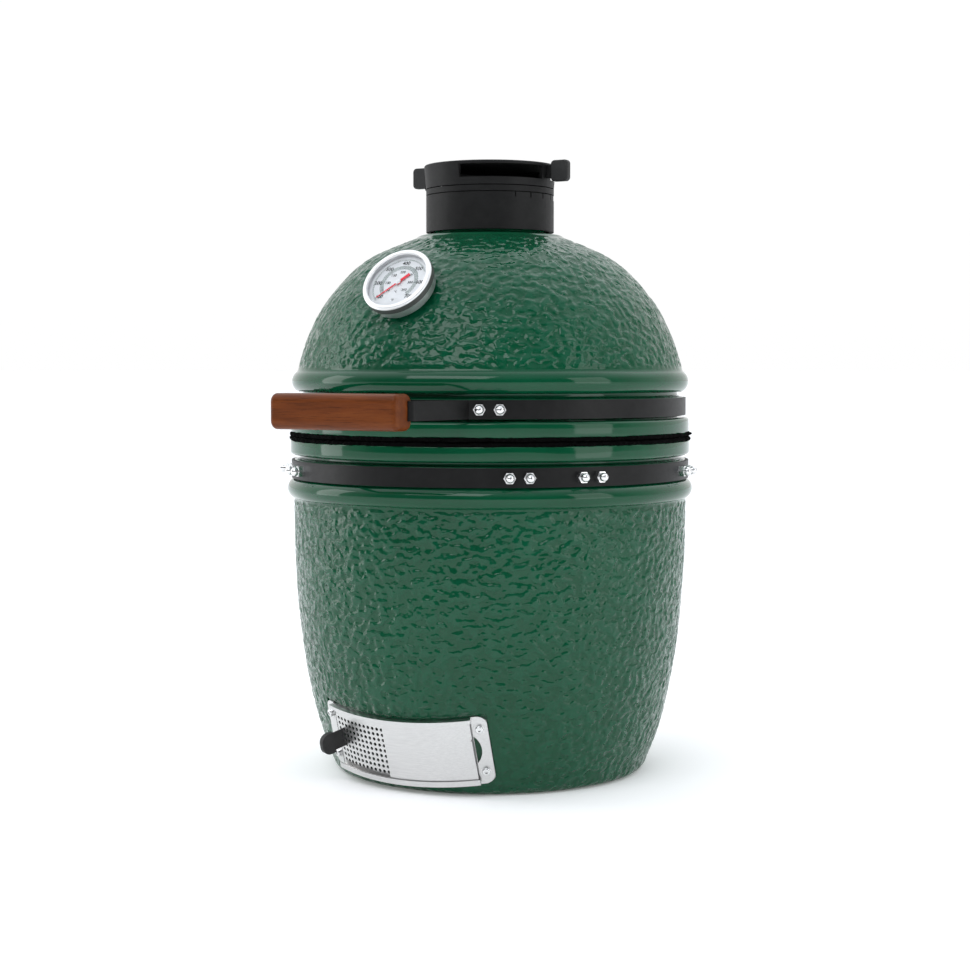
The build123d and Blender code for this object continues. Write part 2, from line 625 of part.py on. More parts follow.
def draft_frame():
    """The curved stainless frame: a back plate, two flanges, two guide rails and their lips."""
    half = RAIL_H / 2
    frame = draft_sector(PLATE_R, half, (-DRAFT_HALF, DRAFT_HALF))
    frame -= draft_sector((170, 190), HOLE_HALF, (HOLE_PSI, 0.4))
    for low, high in ((-half, -half + RAIL_T), (half - RAIL_T, half)):
        frame += draft_plane() * sector(PLATE_R[0], LIP_R[1], low, high, -STOP_PSI, STOP_PSI)
    for low, high in ((-half, -half + LIP_LOW_H), (half - LIP_HIGH_H, half)):
        frame += draft_plane() * sector(LIP_R[0], LIP_R[1], low, high, -STOP_PSI, STOP_PSI)
    for side in (-1, 1):
        psi = sorted((side * STOP_PSI, side * DRAFT_HALF))
        frame += draft_sector((PLATE_R[0], PLATE_R[1] + FLANGE_T), half + 1, psi)
    width = 2 * (PLATE_R[1] + FLANGE_T) * sin(radians(DRAFT_HALF))
    frame &= draft_plane() * extrude(Plane.XZ * RectangleRounded(width, RAIL_H + 2, FLANGE_CORNER), 200)
    notch = Pos(NOTCH_DEPTH - NOTCH_R, 1) * Circle(NOTCH_R)
    notch &= Pos(NOTCH_DEPTH, 0) * Rectangle(2 * NOTCH_DEPTH, 2 * NOTCH_R)
    frame -= draft_plane() * around(STOP_PSI, PLATE_R[1], 0) * extrude(notch, FLANGE_T + 1, both=True)
    for plane in draft_screw_planes():
        frame -= rod(plane, 2.1, -4, 6)
    return frame


def draft_frame_screws():
    """Button-head socket screws on washers, into the ceramic."""
    head = fillet(extrude(Circle(BUTTON_R), BUTTON_H).edges().group_by(Axis.Z)[-1], BUTTON_R * 0.4)
    head -= Pos(0, 0, BUTTON_H / 2 - 0.15) * extrude(RegularPolygon(1.7, 6), BUTTON_H)
    washer = Pos(0, 0, FLANGE_T + 0.02) * extrude(Circle(WASHER_R), WASHER_T)
    shank = Pos(0, 0, -FRAME_SCREW_LENGTH) * extrude(Circle(FRAME_SCREW_R), FRAME_SCREW_LENGTH + FLANGE_T + 0.8)
    screw = Pos(0, 0, FLANGE_T + 0.75) * head + washer + shank
    return Compound([plane * screw for plane in draft_screw_planes()])


def draft_door():
    """The solid sliding shutter, with its end bent out into a low lip to push it by."""
    door = draft_sector(DOOR_R, RAIL_H / 2 - SLIDE_MARGIN, DOOR_PSI)
    lip = (DOOR_PSI[1] - DOOR_LIP_PSI, DOOR_PSI[1])
    return door + draft_sector((DOOR_R[0], DOOR_R[1] + DOOR_LIP_H), DOOR_LIP_HALF, lip)


def draft_screen():
    """The perforated sliding screen, a sheet with round holes in a square grid."""
    screen = draft_sector(SCREEN_R, RAIL_H / 2 - SLIDE_MARGIN, SCREEN_PSI)
    step = degrees(SCREEN_PITCH / SCREEN_R[0])
    holes = []
    for column in range(SCREEN_COLUMNS):
        for row in range(SCREEN_ROWS):
            height = (row - (SCREEN_ROWS - 1) / 2) * SCREEN_PITCH - ROWS_DOWN
            place = draft_plane() * around(FIRST_COLUMN_PSI + column * step, SCREEN_R[0], height)
            holes.append(rod(place, SCREEN_HOLE_R, -2, 3))
    return screen - holes


def tab_outline(length, half):
    """A flat tab's outline: square at its root and round at its far corners."""
    strip = Pos(length / 2, 0) * Rectangle(length, 2 * half)
    return fillet(strip.vertices().group_by(Axis.X)[-1], half * 0.8)


def tab_plane():
    """The tab's own plane in the draft door's frame: x runs outwards along the tab and y up it."""
    a = radians(TAB_PSI)
    root = (SCREEN_R[1] * sin(a), -SCREEN_R[1] * cos(a), 0)
    return Plane(origin=root, x_dir=(sin(a), -cos(a), 0), z_dir=(cos(a), sin(a), 0))


def draft_screen_tab():
    """The grey metal tab at the screen's left end, bent straight out of it."""
    tab = Pos(0, 0, -TAB_T / 2) * extrude(tab_outline(TAB_LENGTH, TAB_HALF), TAB_T)
    return draft_plane() * (tab_plane() * tab)


def draft_screen_grip():
    """The black heat-proof cover pushed over the screen's tab."""
    cover = Pos(COVER_START, 0, -COVER_T / 2) * extrude(tab_outline(COVER_LENGTH, COVER_HALF), COVER_T)
    slot = tab_outline(TAB_LENGTH - COVER_START + 1, TAB_HALF)
    cover -= Pos(COVER_START - 1, 0, -TAB_T / 2) * extrude(slot, TAB_T)
    return draft_plane() * (tab_plane() * cover)


# ------------------------------------------------------------------------------------ top vent


def damper_plate(r, z, bore):
    """A damper plate with a bore in the middle and three petal openings round it."""
    petal = sector(*PETAL_R, z - 1, z + PLATE_T + 1, 0, PETAL_DEG)
    plate = disc(r, z, z + PLATE_T) - disc(bore, z - 1, z + PLATE_T + 1)
    for i in range(3):
        plate -= Rot(0, 0, 120 * i) * petal
    return plate


def vent_sleeve():
    """The fixed collar on the neck, with the lower damper plate across it."""
    sleeve = ring(SLEEVE_BORE_R, SLEEVE_R, *SLEEVE_Z)
    top = SLEEVE_Z[1]
    sleeve -= sector(SLEEVE_R - SCALE_DEPTH, SLEEVE_R + 1, top - SCALE_H, top + 1, *SCALE_AZ)
    for az in TICK_AZ:
        sleeve -= around(az, SLEEVE_R, top - 2) * Box(*TICK_SIZE)
    return sleeve + damper_plate(SLEEVE_BORE_R + 1, NECK_TOP + 0.1, VENT_BOLT_R + 0.05)


def vent_sleeve_seal():
    return ring(NECK_R + 0.1, SLEEVE_BORE_R, *SEAL_Z)


def vent_pivot_bolt():
    """The bolt at the middle of both damper plates."""
    half_flats, height = VENT_BOLT_HEAD
    hexagon = extrude(RegularPolygon(half_flats, 6, major_radius=False), height)
    shank = disc(VENT_BOLT_R, NECK_TOP - 3, NECK_TOP + 6)
    return shank + Pos(0, 0, NECK_TOP + 5.4) * hexagon + Pos(0, 0, NECK_TOP - height) * hexagon


def vent_rotor():
    """The turning ring with the upper damper plate and two ears for the hood's pin."""
    low = NECK_TOP + 2.5
    rotor = ring(*ROTOR_R, low, ROTOR_Z[1]) + ring(ROTOR_R[0], SLEEVE_R, *ROTOR_Z)
    rotor += damper_plate(ROTOR_R[0] + 0.5, low, VENT_BOLT_R + 0.1)
    x, z = VENT_PIVOT
    blade = Pos(x, z) * Circle(CHEEK_R)
    blade += Pos(x + 3, (z + ROTOR_Z[0]) / 2) * Rectangle(6, z - ROTOR_Z[0])
    cheek = extrude(Plane.XZ * blade, 2, both=True)
    for side in (-1, 1):
        rotor += Pos(0, side * CHEEK_Y, 0) * cheek
    return rotor - Plane.XZ * (Pos(x, z) * extrude(Circle(HOOD_PIN_R), 20, both=True))


def vent_hinge_pin():
    x, z = VENT_PIVOT
    return Plane.XZ * (Pos(x, z) * extrude(Circle(HOOD_PIN_R), CHEEK_Y + 3, both=True))


def vent_arm():
    """The flat bar whose two ends are the hood's tabs."""
    return Pos(0, 0, ARM_Z) * Box(2 * ARM_REACH, ARM_T, ARM_H)


def vent_hood():
    """The rain hood: a cup upside down with side windows, two tab arms and the hinge knuckle."""
    z0, z1 = HOOD_Z
    cup = turned(Polyline(
        (0, z0), (SLEEVE_R, z0), (HOOD_TOP_R, z1 - 1.2), (HOOD_TOP_R - 0.8, z1 - 0.3), (HOOD_TOP_R - 4, z1),
        (0, z1), close=True,
    ))
    hollow = disc(SLEEVE_R - HOOD_WALL, z0 - 1, z1 - HOOD_WALL)
    cup -= hollow
    for az in WINDOWS_AZ:
        cup -= sector(SLEEVE_R - 15, SLEEVE_R + 15, *WINDOW_Z, *az)
    x, z = VENT_PIVOT
    for side in (-1, 1):
        cup -= Pos(x + 4, side * CHEEK_Y, z) * Box(10, 5, 10)
    arm = vent_arm() - disc(SLEEVE_R - 1, z0, z1 + 9)
    knuckle = Pos(x, z) * Circle(KNUCKLE_R) + Pos(x + 3, z + 2.5) * Rectangle(6, 9)
    knuckle = extrude(Plane.XZ * knuckle, 5.5, both=True)
    knuckle -= hollow
    hood = cup + arm + knuckle
    return hood - Plane.XZ * (Pos(x, z) * extrude(Circle(HOOD_PIN_R + 0.05), 30, both=True))


def vent_tab_cover_right():
    """The heat-proof cover over the hood's right tab, a flat block with rounded corners."""
    block = Pos(TAB_COVER_X, 0, ARM_Z + 0.4) * Box(*TAB_COVER_SIZE)
    block = fillet(block.edges().filter_by(Axis.Y), 4.0)
    block = fillet(block.faces().filter_by(Axis.Y).edges(), 1.2)
    return block - vent_arm()


def vent_tab_cover_left():
    return mirror(vent_tab_cover_right(), Plane.YZ)


# ------------------------------------------------------------------------------------ inside


def fire_box():
    """The charcoal bowl's wall: it stands on the base's floor, is drilled round and has a step for its plate."""
    box = turned(Polyline(*FIRE_BOX_OUTSIDE, *FIRE_BOX_INSIDE, close=True))
    step = 360 / FIRE_BOX_HOLES
    for i in range(FIRE_BOX_HOLES):
        box -= rod(around(step * (i + 0.5), 0, FIRE_BOX_HOLE_Z), FIRE_BOX_HOLE_R, 90, 160)
    centre = DRAFT_R * sin(radians(HOLE_PSI)) / 2
    return box - Pos(centre, -120, FIRE_BOX_DOOR_Z) * Box(*FIRE_BOX_DOOR)


def fire_plate():
    """The loose ceramic plate on the bowl's step, with a wide bore and a seat for the grate."""
    seat = ring(FIRE_PLATE_R[0] - 1, GRATE_SEAT_R, GRATE_Z, FIRE_PLATE_Z[1] + 1)
    return ring(*FIRE_PLATE_R, *FIRE_PLATE_Z) - seat


def fire_grate():
    grate = disc(GRATE_R, GRATE_Z, GRATE_Z + GRATE_T)
    for i in range(-4, 5):
        x = GRATE_PITCH * i
        reach = sqrt((GRATE_R - GRATE_RIM) ** 2 - x**2)
        grate -= Pos(x, 0, GRATE_Z + GRATE_T / 2) * Box(GRATE_PITCH / 2, 2 * reach, GRATE_T + 2)
    return grate + Pos(0, 0, GRATE_Z + 2) * Box(2 * GRATE_R - 6, 6, 4)


def fire_ring():
    """The ring that stands on the charcoal bowl and carries the cooking grid."""
    return turned(Polyline(*FIRE_RING_OUTLINE, close=True))


def cooking_grid():
    """The welded wire grid: a round hoop, close bars across it and two cross wires under the bars."""
    hoop_r = GRID_R - GRID_WIRE_R
    hoop_z = FIRE_RING_TOP + GRID_GAP + GRID_WIRE_R
    grid = Pos(0, 0, hoop_z) * Torus(hoop_r, GRID_WIRE_R)
    for i in range(-9, 10):
        x = GRID_BAR_PITCH * i
        bar = extrude(Circle(GRID_BAR_R), sqrt(hoop_r**2 - x**2), both=True)
        grid += Pos(x, 0, hoop_z + GRID_BAR_R) * (Rot(90, 0, 0) * bar)
    for y in GRID_CROSS_Y:
        wire = extrude(Circle(GRID_BAR_R), sqrt(hoop_r**2 - y**2), both=True)
        grid += Pos(0, y, hoop_z - 0.7) * (Rot(0, 90, 0) * wire)
    return grid


# ------------------------------------------------------------------------------------ files

PARTS = {
    "base_shell": base_shell,
    "base_gasket": base_gasket,
    "lower_band": lower_band,
    "lower_band_studs": lambda: studs(LOWER_STUD_AZ, BASE_GROOVE_R, LOWER_BAND_Z, 0),
    "lower_band_cap_nuts": lambda: stud_nuts(LOWER_STUD_AZ, BASE_GROOVE_R, LOWER_BAND_Z, 0),
    "hinge_lower_bracket": hinge_lower_bracket,
    "hinge_lower_studs": lambda: studs(HINGE_STUD_AZ, BASE_GROOVE_R, LOWER_BAND_Z, BAND_T),
    "hinge_lower_nuts": lambda: stud_nuts(HINGE_STUD_AZ, BASE_GROOVE_R, LOWER_BAND_Z, BAND_T),
    "hinge_pin": hinge_pin,
    "hinge_pin_clips": hinge_pin_clips,
    "hinge_spring_left": lambda: mirror(hinge_spring(), Plane.YZ),
    "hinge_spring_right": hinge_spring,
    "draft_frame": draft_frame,
    "draft_frame_screws": draft_frame_screws,
    "draft_door": draft_door,
    "draft_screen": draft_screen,
    "draft_screen_tab": draft_screen_tab,
    "draft_screen_grip": draft_screen_grip,
    "fire_box": fire_box,
    "fire_plate": fire_plate,
    "fire_grate": fire_grate,
    "fire_ring": fire_ring,
    "cooking_grid": cooking_grid,
    "dome_shell": dome_shell,
    "dome_gasket": dome_gasket,
    "upper_band": upper_band,
    "hinge_upper_bracket": hinge_upper_bracket,
    "hinge_upper_studs": lambda: studs(HINGE_STUD_AZ, DOME_GROOVE_R, UPPER_BAND_Z, BAND_T),
    "hinge_upper_nuts": lambda: stud_nuts(HINGE_STUD_AZ, DOME_GROOVE_R, UPPER_BAND_Z, BAND_T),
    "handle_bracket_left": handle_bracket_left,
    "handle_bracket_right": handle_bracket_right,
    "handle_bracket_studs": lambda: studs(LUG_BOLT_AZ, DOME_GROOVE_R, UPPER_BAND_Z, BAND_T),
    "handle_bracket_cap_nuts": lambda: stud_nuts(LUG_BOLT_AZ, DOME_GROOVE_R, UPPER_BAND_Z, BAND_T),
    "handle_grip": handle_grip,
    "handle_screws": handle_screws,
    "gauge_case": gauge_case,
    "gauge_bezel": gauge_bezel,
    "gauge_dial": gauge_dial,
    "gauge_glass": gauge_glass,
    "gauge_pointer": gauge_pointer,
    "gauge_stem": gauge_stem,
    "gauge_nut": gauge_nut,
    "vent_sleeve": vent_sleeve,
    "vent_sleeve_seal": vent_sleeve_seal,
    "vent_pivot_bolt": vent_pivot_bolt,
    "vent_rotor": vent_rotor,
    "vent_hinge_pin": vent_hinge_pin,
    "vent_hood": vent_hood,
    "vent_tab_cover_left": vent_tab_cover_left,
    "vent_tab_cover_right": vent_tab_cover_right,
}

os.makedirs("parts", exist_ok=True)
for name, make in PARTS.items():
    export(name, make())
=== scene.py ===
from math import acos, atan2, cos, hypot, pi, radians, sin, sqrt

import bmesh
import bpy
import numpy as np
from mathutils import Matrix, Vector


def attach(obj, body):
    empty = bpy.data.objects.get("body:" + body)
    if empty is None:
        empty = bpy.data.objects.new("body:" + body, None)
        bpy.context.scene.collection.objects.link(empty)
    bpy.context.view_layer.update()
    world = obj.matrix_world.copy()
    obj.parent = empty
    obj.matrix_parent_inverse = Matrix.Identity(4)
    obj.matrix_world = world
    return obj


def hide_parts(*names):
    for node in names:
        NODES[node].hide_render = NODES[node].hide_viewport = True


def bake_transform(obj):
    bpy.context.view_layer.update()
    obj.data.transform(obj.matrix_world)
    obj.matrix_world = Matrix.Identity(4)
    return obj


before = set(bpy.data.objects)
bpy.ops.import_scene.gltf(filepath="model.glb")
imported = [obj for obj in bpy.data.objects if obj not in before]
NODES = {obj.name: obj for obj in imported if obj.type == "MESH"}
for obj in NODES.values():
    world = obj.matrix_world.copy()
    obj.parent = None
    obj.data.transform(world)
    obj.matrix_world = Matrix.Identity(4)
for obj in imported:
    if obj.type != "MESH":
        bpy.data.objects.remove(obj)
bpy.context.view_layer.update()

SCENE = bpy.context.scene
MM = 0.001

# ------------------------------------------------------------------ driving sizes, in the CAD's millimetres
BASE_OUTER = [(160, 9.5), (176.6, 58.4), (190.8, 131.7), (196.3, 205), (198.4, 274.5)]
BASE_BEAD = [(198.4, 274.5), (205.0, 284.5), (198.0, 294.5)]
BASE_RIM = [
    (198, 295), (198, 313.5), (192.5, 315), (192.5, 318.2), (199.7, 318.2), (201.7, 320.2), (201.7, 332.5),
    (180, 332.5),
]
BASE_FOOT = [(148, 0), (156.0, 3.0), (160, 9.5)]
BASE_LIP = [(179.5, 332.0), (178, 330.5), (177, 318)]
BASE_INNER = [(177, 318), (174.5, 205), (165, 100), (147, 34)]
BASE_FLOOR = [(140, 28), (70, 28), (1, 28), (1, 0), (70, 0), (146, 0)]
DOME_RIM = [
    (180, 340.7), (201, 340.7), (201, 353.2), (199, 355.2), (189.5, 355.2), (189.5, 356.6), (195, 357.6),
    (195, 375.9), (189.5, 377.4), (189.5, 381.6), (194.6, 381.6),
]
DOME_BEAD = [(195, 381.6), (200.4, 391.55), (195, 401.5)]
DOME_OUTER = [(195, 401.5), (183.2, 437.1), (162.9, 473.7), (127, 510.4), (76, 534.6)]
DOME_NECK = [(75.2, 535.0), (72.5, 537.2), (58.5, 537.2), (57, 538.7), (57, 574), (48, 574)]
DOME_BORE = [(45, 574), (44, 573), (44, 524)]
DOME_INNER = [(60, 519), (118, 488), (159, 440), (175, 385), (178, 353)]
DOME_INNER_LIP = [(178, 343), (179, 341.4)]
FINE_COLUMNS = 540
COARSE_COLUMNS = 90
ROW_STEP = 2.3
BEAD_STEP = 1.5
INNER_STEP = 9
RIDGE_DEPTH = 0.55
RIDGE_WAVE = 8.4
SWELL_DEPTH = 0.16

DRAFT_LEAN = radians(17.0)
DRAFT_TURN = radians(-1.2)
DRAFT_R = 178.0
DRAFT_C = (0.0, -169.95 + DRAFT_R * cos(DRAFT_LEAN), 42.2 + DRAFT_R * sin(DRAFT_LEAN))
POCKET_R = (178.0, 192.0)
POCKET_HALF = 35.35
POCKET_PSI = radians(30.7)
TUNNEL_WIDTH = DRAFT_R * sin(radians(24.6)) - 1
TUNNEL_OUTER = (TUNNEL_WIDTH, 34, 53.2)
TUNNEL_OUTER_Y = -173
TUNNEL_INNER = (TUNNEL_WIDTH - 6, 100, 44)
TUNNEL_INNER_Y = -150
SMOOTH_PSI, SMOOTH_PSI_FADE = 34.0, 2.5
SMOOTH_HALF, SMOOTH_HALF_FADE = 40.0, 4.0
GAUGE_FACE = (0.0, -175.0, 487.5)
GAUGE_TILT = radians(36.0)
STEM_HOLE_R = 5.0
STEM_HOLE_Z = (-90, 5)
DIAL_START, DIAL_SWEEP = -135.0, 270.0
DIAL_PRINT_Z = -5.4
BEZEL_SHADE_DEPTH = 3.0
PIVOT_Y, PIVOT_Z = 232.0, 336.6
SPRING_FEET = [(202.5, 356.0), (205.5, 314.8)]
SPRING_R, SPRING_WIRE_R = 8.0, 1.2
SPRING_X = (9.0, 29.0)
SPRING_TURNS = 7
WIRE_SIDES = 12
FELT_R = (180.0, 202.0)
FELT_COLUMNS = 900
FELT_Z = {"base": (332.5, 336.45), "dome": (336.75, 340.7)}
EASED_EDGE = 0.4

# ------------------------------------------------------------------ the studio, in metres
CAMERA_TURN = radians(30.0)
CAMERA_DISTANCE = 1.934
CAMERA_HEIGHT = 0.4045
CAMERA_DIP = radians(3.52)
CAMERA_PAN = radians(0.15)
FAR_CLIP = 400.0
FLOOR_HALF = 200.0
FLOOR_GLOW = 0.16


# ------------------------------------------------------------------ camera, floor and light
def place_camera():
    """The camera: round to the right of the front, just above the lid's bead and a little nose-down."""
    data = bpy.data.cameras.new("camera")
    data.lens = 70.5
    data.sensor_width = 36.0
    data.clip_end = FAR_CLIP
    camera = bpy.data.objects.new("camera", data)
    camera.location = (CAMERA_DISTANCE * sin(CAMERA_TURN), -CAMERA_DISTANCE * cos(CAMERA_TURN), CAMERA_HEIGHT)
    camera.rotation_euler = (radians(90.0) - CAMERA_DIP, 0.0, CAMERA_TURN + CAMERA_PAN)
    SCENE.collection.objects.link(camera)
    SCENE.camera = camera


def area_light(name, place, target, size, power, colour=(1.0, 1.0, 1.0)):
    """A rectangular soft light that faces the target."""
    data = bpy.data.lights.new(name, "AREA")
    data.shape = "RECTANGLE"
    data.size, data.size_y = size
    data.energy = power
    data.color = colour
    light = bpy.data.objects.new(name, data)
    light.location = place
    light.rotation_euler = (Vector(target) - Vector(place)).to_track_quat("-Z", "Y").to_euler()
    SCENE.collection.objects.link(light)


def world_direction(nodes, links, coordinates, towards):
    """How far the sky's direction faces the given one, from -1 to 1."""
    dot = nodes.new("ShaderNodeVectorMath")
    dot.operation = "DOT_PRODUCT"
    dot.inputs[1].default_value = towards
    links.new(coordinates.outputs["Generated"], dot.inputs[0])
    return dot.outputs["Value"]


def world_ramp(nodes, links, source, stops):
    """A colour ramp over a direction from -1 to 1."""
    scale = nodes.new("ShaderNodeMapRange")
    scale.inputs["From Min"].default_value = -1.0
    links.new(source, scale.inputs["Value"])
    ramp = nodes.new("ShaderNodeValToRGB")
    elements = ramp.color_ramp.elements
    while len(elements) < len(stops):
        elements.new(0.5)
    for element, (position, colour) in zip(elements, stops):
        element.position = position
        element.color = (*colour, 1.0)
    links.new(scale.outputs["Result"], ramp.inputs["Fac"])
    return ramp.outputs["Color"]


def light_studio():
    """A studio that is white behind, greyer at the sides, dim in front and a little cool overhead."""
    world = bpy.data.worlds.new("studio")
    SCENE.world = world
    world.use_nodes = True
    nodes, links = world.node_tree.nodes, world.node_tree.links
    coordinates = nodes.new("ShaderNodeTexCoord")
    front = world_direction(nodes, links, coordinates, (sin(CAMERA_TURN), -cos(CAMERA_TURN), 0.0))
    up = world_direction(nodes, links, coordinates, (0.0, 0.0, 1.0))
    round_about = world_ramp(nodes, links, front, [
        (0.0, (1.0, 1.0, 1.0)), (0.30, (1.0, 1.0, 1.0)), (0.52, (0.62, 0.62, 0.63)),
        (0.70, (0.12, 0.125, 0.13)), (1.0, (0.05, 0.053, 0.056)),
    ])
    overhead = world_ramp(nodes, links, up, [
        (0.5, (0.0, 0.0, 0.0)), (0.68, (0.04, 0.045, 0.05)),
        (0.85, (0.50, 0.54, 0.60)), (1.0, (0.72, 0.77, 0.84)),
    ])
    add = nodes.new("ShaderNodeMix")
    add.data_type = "RGBA"
    add.blend_type = "ADD"
    add.inputs[0].default_value = 1.0
    links.new(round_about, add.inputs[6])
    links.new(overhead, add.inputs[7])
    links.new(add.outputs[2], nodes["Background"].inputs["Color"])
    middle = (0.0, 0.0, 0.35)
    area_light("key", (0.1, -2.1, 2.3), middle, (2.2, 1.2), 25.0, (0.97, 0.99, 1.0))
    area_light("left_side", (-2.3, -0.9, 0.9), middle, (0.9, 1.9), 12.0)
    area_light("right_side", (2.4, -0.1, 0.9), middle, (1.1, 1.9), 12.0)


def lay_floor():
    """A plain pale floor, wide enough to reach nearly to the horizon, with a slight glow of its own."""
    bm = bmesh.new()
    bmesh.ops.create_grid(bm, x_segments=1, y_segments=1, size=FLOOR_HALF)
    mesh = bpy.data.meshes.new("floor")
    bm.to_mesh(mesh)
    bm.free()
    floor = bpy.data.objects.new("floor", mesh)
    SCENE.collection.objects.link(floor)
    material = bpy.data.materials.new("floor_pale")
    material.use_nodes = True
    shader = material.node_tree.nodes["Principled BSDF"]
    shader.inputs["Base Color"].default_value = (0.94, 0.94, 0.94, 1.0)
    shader.inputs["Roughness"].default_value = 1.0
    shader.inputs["Specular IOR Level"].default_value = 0.0
    shader.inputs["Emission Color"].default_value = (1.0, 0.99, 0.98, 1.0)
    shader.inputs["Emission Strength"].default_value = FLOOR_GLOW
    floor.data.materials.append(material)


# ------------------------------------------------------------------ material helpers
class Nodes:
    """A thin helper that adds and links the nodes of one material."""

    def __init__(self, name):
        self.material = bpy.data.materials.new(name)
        self.material.use_nodes = True
        self.tree = self.material.node_tree
        self.shader = self.tree.nodes["Principled BSDF"]
        self.coordinates = None

    def add(self, kind, **settings):
        node = self.tree.nodes.new(kind)
        for key, value in settings.items():
            setattr(node, key, value)
        return node

    def link(self, source, target):
        self.tree.links.new(source, target)

    def where(self, scale=(1.0, 1.0, 1.0)):
        """Object coordinates, in metres, stretched along each axis."""
        if self.coordinates is None:
            self.coordinates = self.add("ShaderNodeTexCoord")
        mapping = self.add("ShaderNodeMapping")
        mapping.inputs["Scale"].default_value = scale
        self.link(self.coordinates.outputs["Object"], mapping.inputs["Vector"])
        return mapping.outputs["Vector"]

    def noise(self, scale, detail=3.0, roughness=0.55, stretch=(1.0, 1.0, 1.0), distortion=0.0):
        """A noise texture; scale is in periods per metre."""
        node = self.add("ShaderNodeTexNoise")
        node.inputs["Scale"].default_value = scale
        node.inputs["Detail"].default_value = detail
        node.inputs["Roughness"].default_value = roughness
        node.inputs["Distortion"].default_value = distortion
        self.link(self.where(stretch), node.inputs["Vector"])
        return node.outputs["Fac"]

    def ramp(self, source, stops, interpolation="LINEAR"):
        """A colour ramp with (position, colour or grey) stops."""
        node = self.add("ShaderNodeValToRGB")
        node.color_ramp.interpolation = interpolation
        elements = node.color_ramp.elements
        while len(elements) < len(stops):
            elements.new(0.5)
        for element, (position, colour) in zip(elements, stops):
            element.position = position
            element.color = (*colour, 1.0) if isinstance(colour, tuple) else (colour, colour, colour, 1.0)
        self.link(source, node.inputs["Fac"])
        return node.outputs["Color"]

    def spread(self, source, low, high):
        """The 0..1 source mapped to low..high, clamped."""
        node = self.add("ShaderNodeMapRange")
        node.inputs["To Min"].default_value = low
        node.inputs["To Max"].default_value = high
        self.link(source, node.inputs["Value"])
        return node.outputs["Result"]

    def mix(self, factor, first, second, blend="MIX"):
        """Two colours mixed; each may be a socket or a tuple, and the factor a socket or a number."""
        node = self.add("ShaderNodeMix", data_type="RGBA", blend_type=blend)
        for index, value in ((0, factor), (6, first), (7, second)):
            socket = node.inputs[index]
            if isinstance(value, bpy.types.NodeSocket):
                self.link(value, socket)
            else:
                socket.default_value = (*value, 1.0) if isinstance(value, tuple) else value
        return node.outputs[2]

    def math(self, operation, first, second=None):
        """One mathematical step on sockets or numbers."""
        node = self.add("ShaderNodeMath", operation=operation)
        for socket, value in zip(node.inputs, (first, second)):
            if isinstance(value, bpy.types.NodeSocket):
                self.link(value, socket)
            elif value is not None:
                socket.default_value = value
        return node.outputs["Value"]

    def bump(self, height, strength, distance_mm, after=None):
        node = self.add("ShaderNodeBump")
        node.inputs["Strength"].default_value = strength
        node.inputs["Distance"].default_value = distance_mm * MM
        self.link(height, node.inputs["Height"])
        if after is not None:
            self.link(after, node.inputs["Normal"])
        return node.outputs["Normal"]

    def set(self, **sockets):
        """Sets or links sockets of the shader, named with underscores for spaces."""
        for key, value in sockets.items():
            socket = self.shader.inputs[key.replace("_", " ")]
            if isinstance(value, bpy.types.NodeSocket):
                self.link(value, socket)
            else:
                socket.default_value = (*value, 1.0) if isinstance(value, tuple) else value
        return self.material


def glaze():
    """Deep green glaze over close wavy bumps, pulled thin and a little paler on their crests."""
    n = Nodes("green_glaze")
    cover = n.add("ShaderNodeAttribute", attribute_name="ridge_cover").outputs["Fac"]
    bumps = n.noise(150.0, 0.4, 0.35, stretch=(0.78, 0.78, 1.12), distortion=0.25)
    waves = n.ramp(bumps, [(0.34, 0.0), (0.66, 1.0)], "EASE")
    ridge = n.math("MULTIPLY", waves, cover)
    ground = n.ramp(n.noise(17.0, 4.0), [(0.3, (0.0008, 0.056, 0.022)), (0.7, (0.0014, 0.068, 0.028))])
    colour = n.mix(n.spread(ridge, 0.0, 0.30), ground, (0.004, 0.100, 0.050))
    rough = n.spread(n.noise(260.0, 3.0), 0.05, 0.10)
    fine = n.bump(n.noise(480.0, 2.0, 0.5), 0.10, 0.10)
    crisp = n.bump(ridge, 1.0, 0.95, fine)
    return n.set(Base_Color=colour, Roughness=rough, Normal=crisp, IOR=1.39)


def raw_ceramic():
    """Unglazed refractory, sooty in patches."""
    n = Nodes("raw_ceramic")
    body = n.ramp(n.noise(60.0, 5.0, 0.65), [(0.25, (0.26, 0.22, 0.18)), (0.75, (0.40, 0.35, 0.30))])
    soot = n.ramp(n.noise(11.0, 4.0), [(0.38, 0.0), (0.68, 1.0)])
    colour = n.mix(n.spread(soot, 0.25, 0.8), body, (0.045, 0.04, 0.037))
    grain = n.bump(n.noise(900.0, 3.0, 0.7), 0.5, 0.4)
    return n.set(Base_Color=colour, Roughness=n.spread(soot, 0.82, 0.95), Normal=grain)


def powder_coat(name, low, high, rough, grain_mm=0.12):
    """Black powder coat with its fine orange peel; low and high are the colour's two greys."""
    n = Nodes(name)
    colour = n.ramp(n.noise(90.0, 4.0), [(0.3, low), (0.7, high)])
    peel = n.bump(n.noise(1500.0, 2.0, 0.6), 0.35, grain_mm)
    haze = n.spread(n.noise(240.0, 3.0), rough - 0.06, rough + 0.07)
    return n.set(Base_Color=colour, Roughness=haze, Normal=peel, Specular_IOR_Level=0.2)


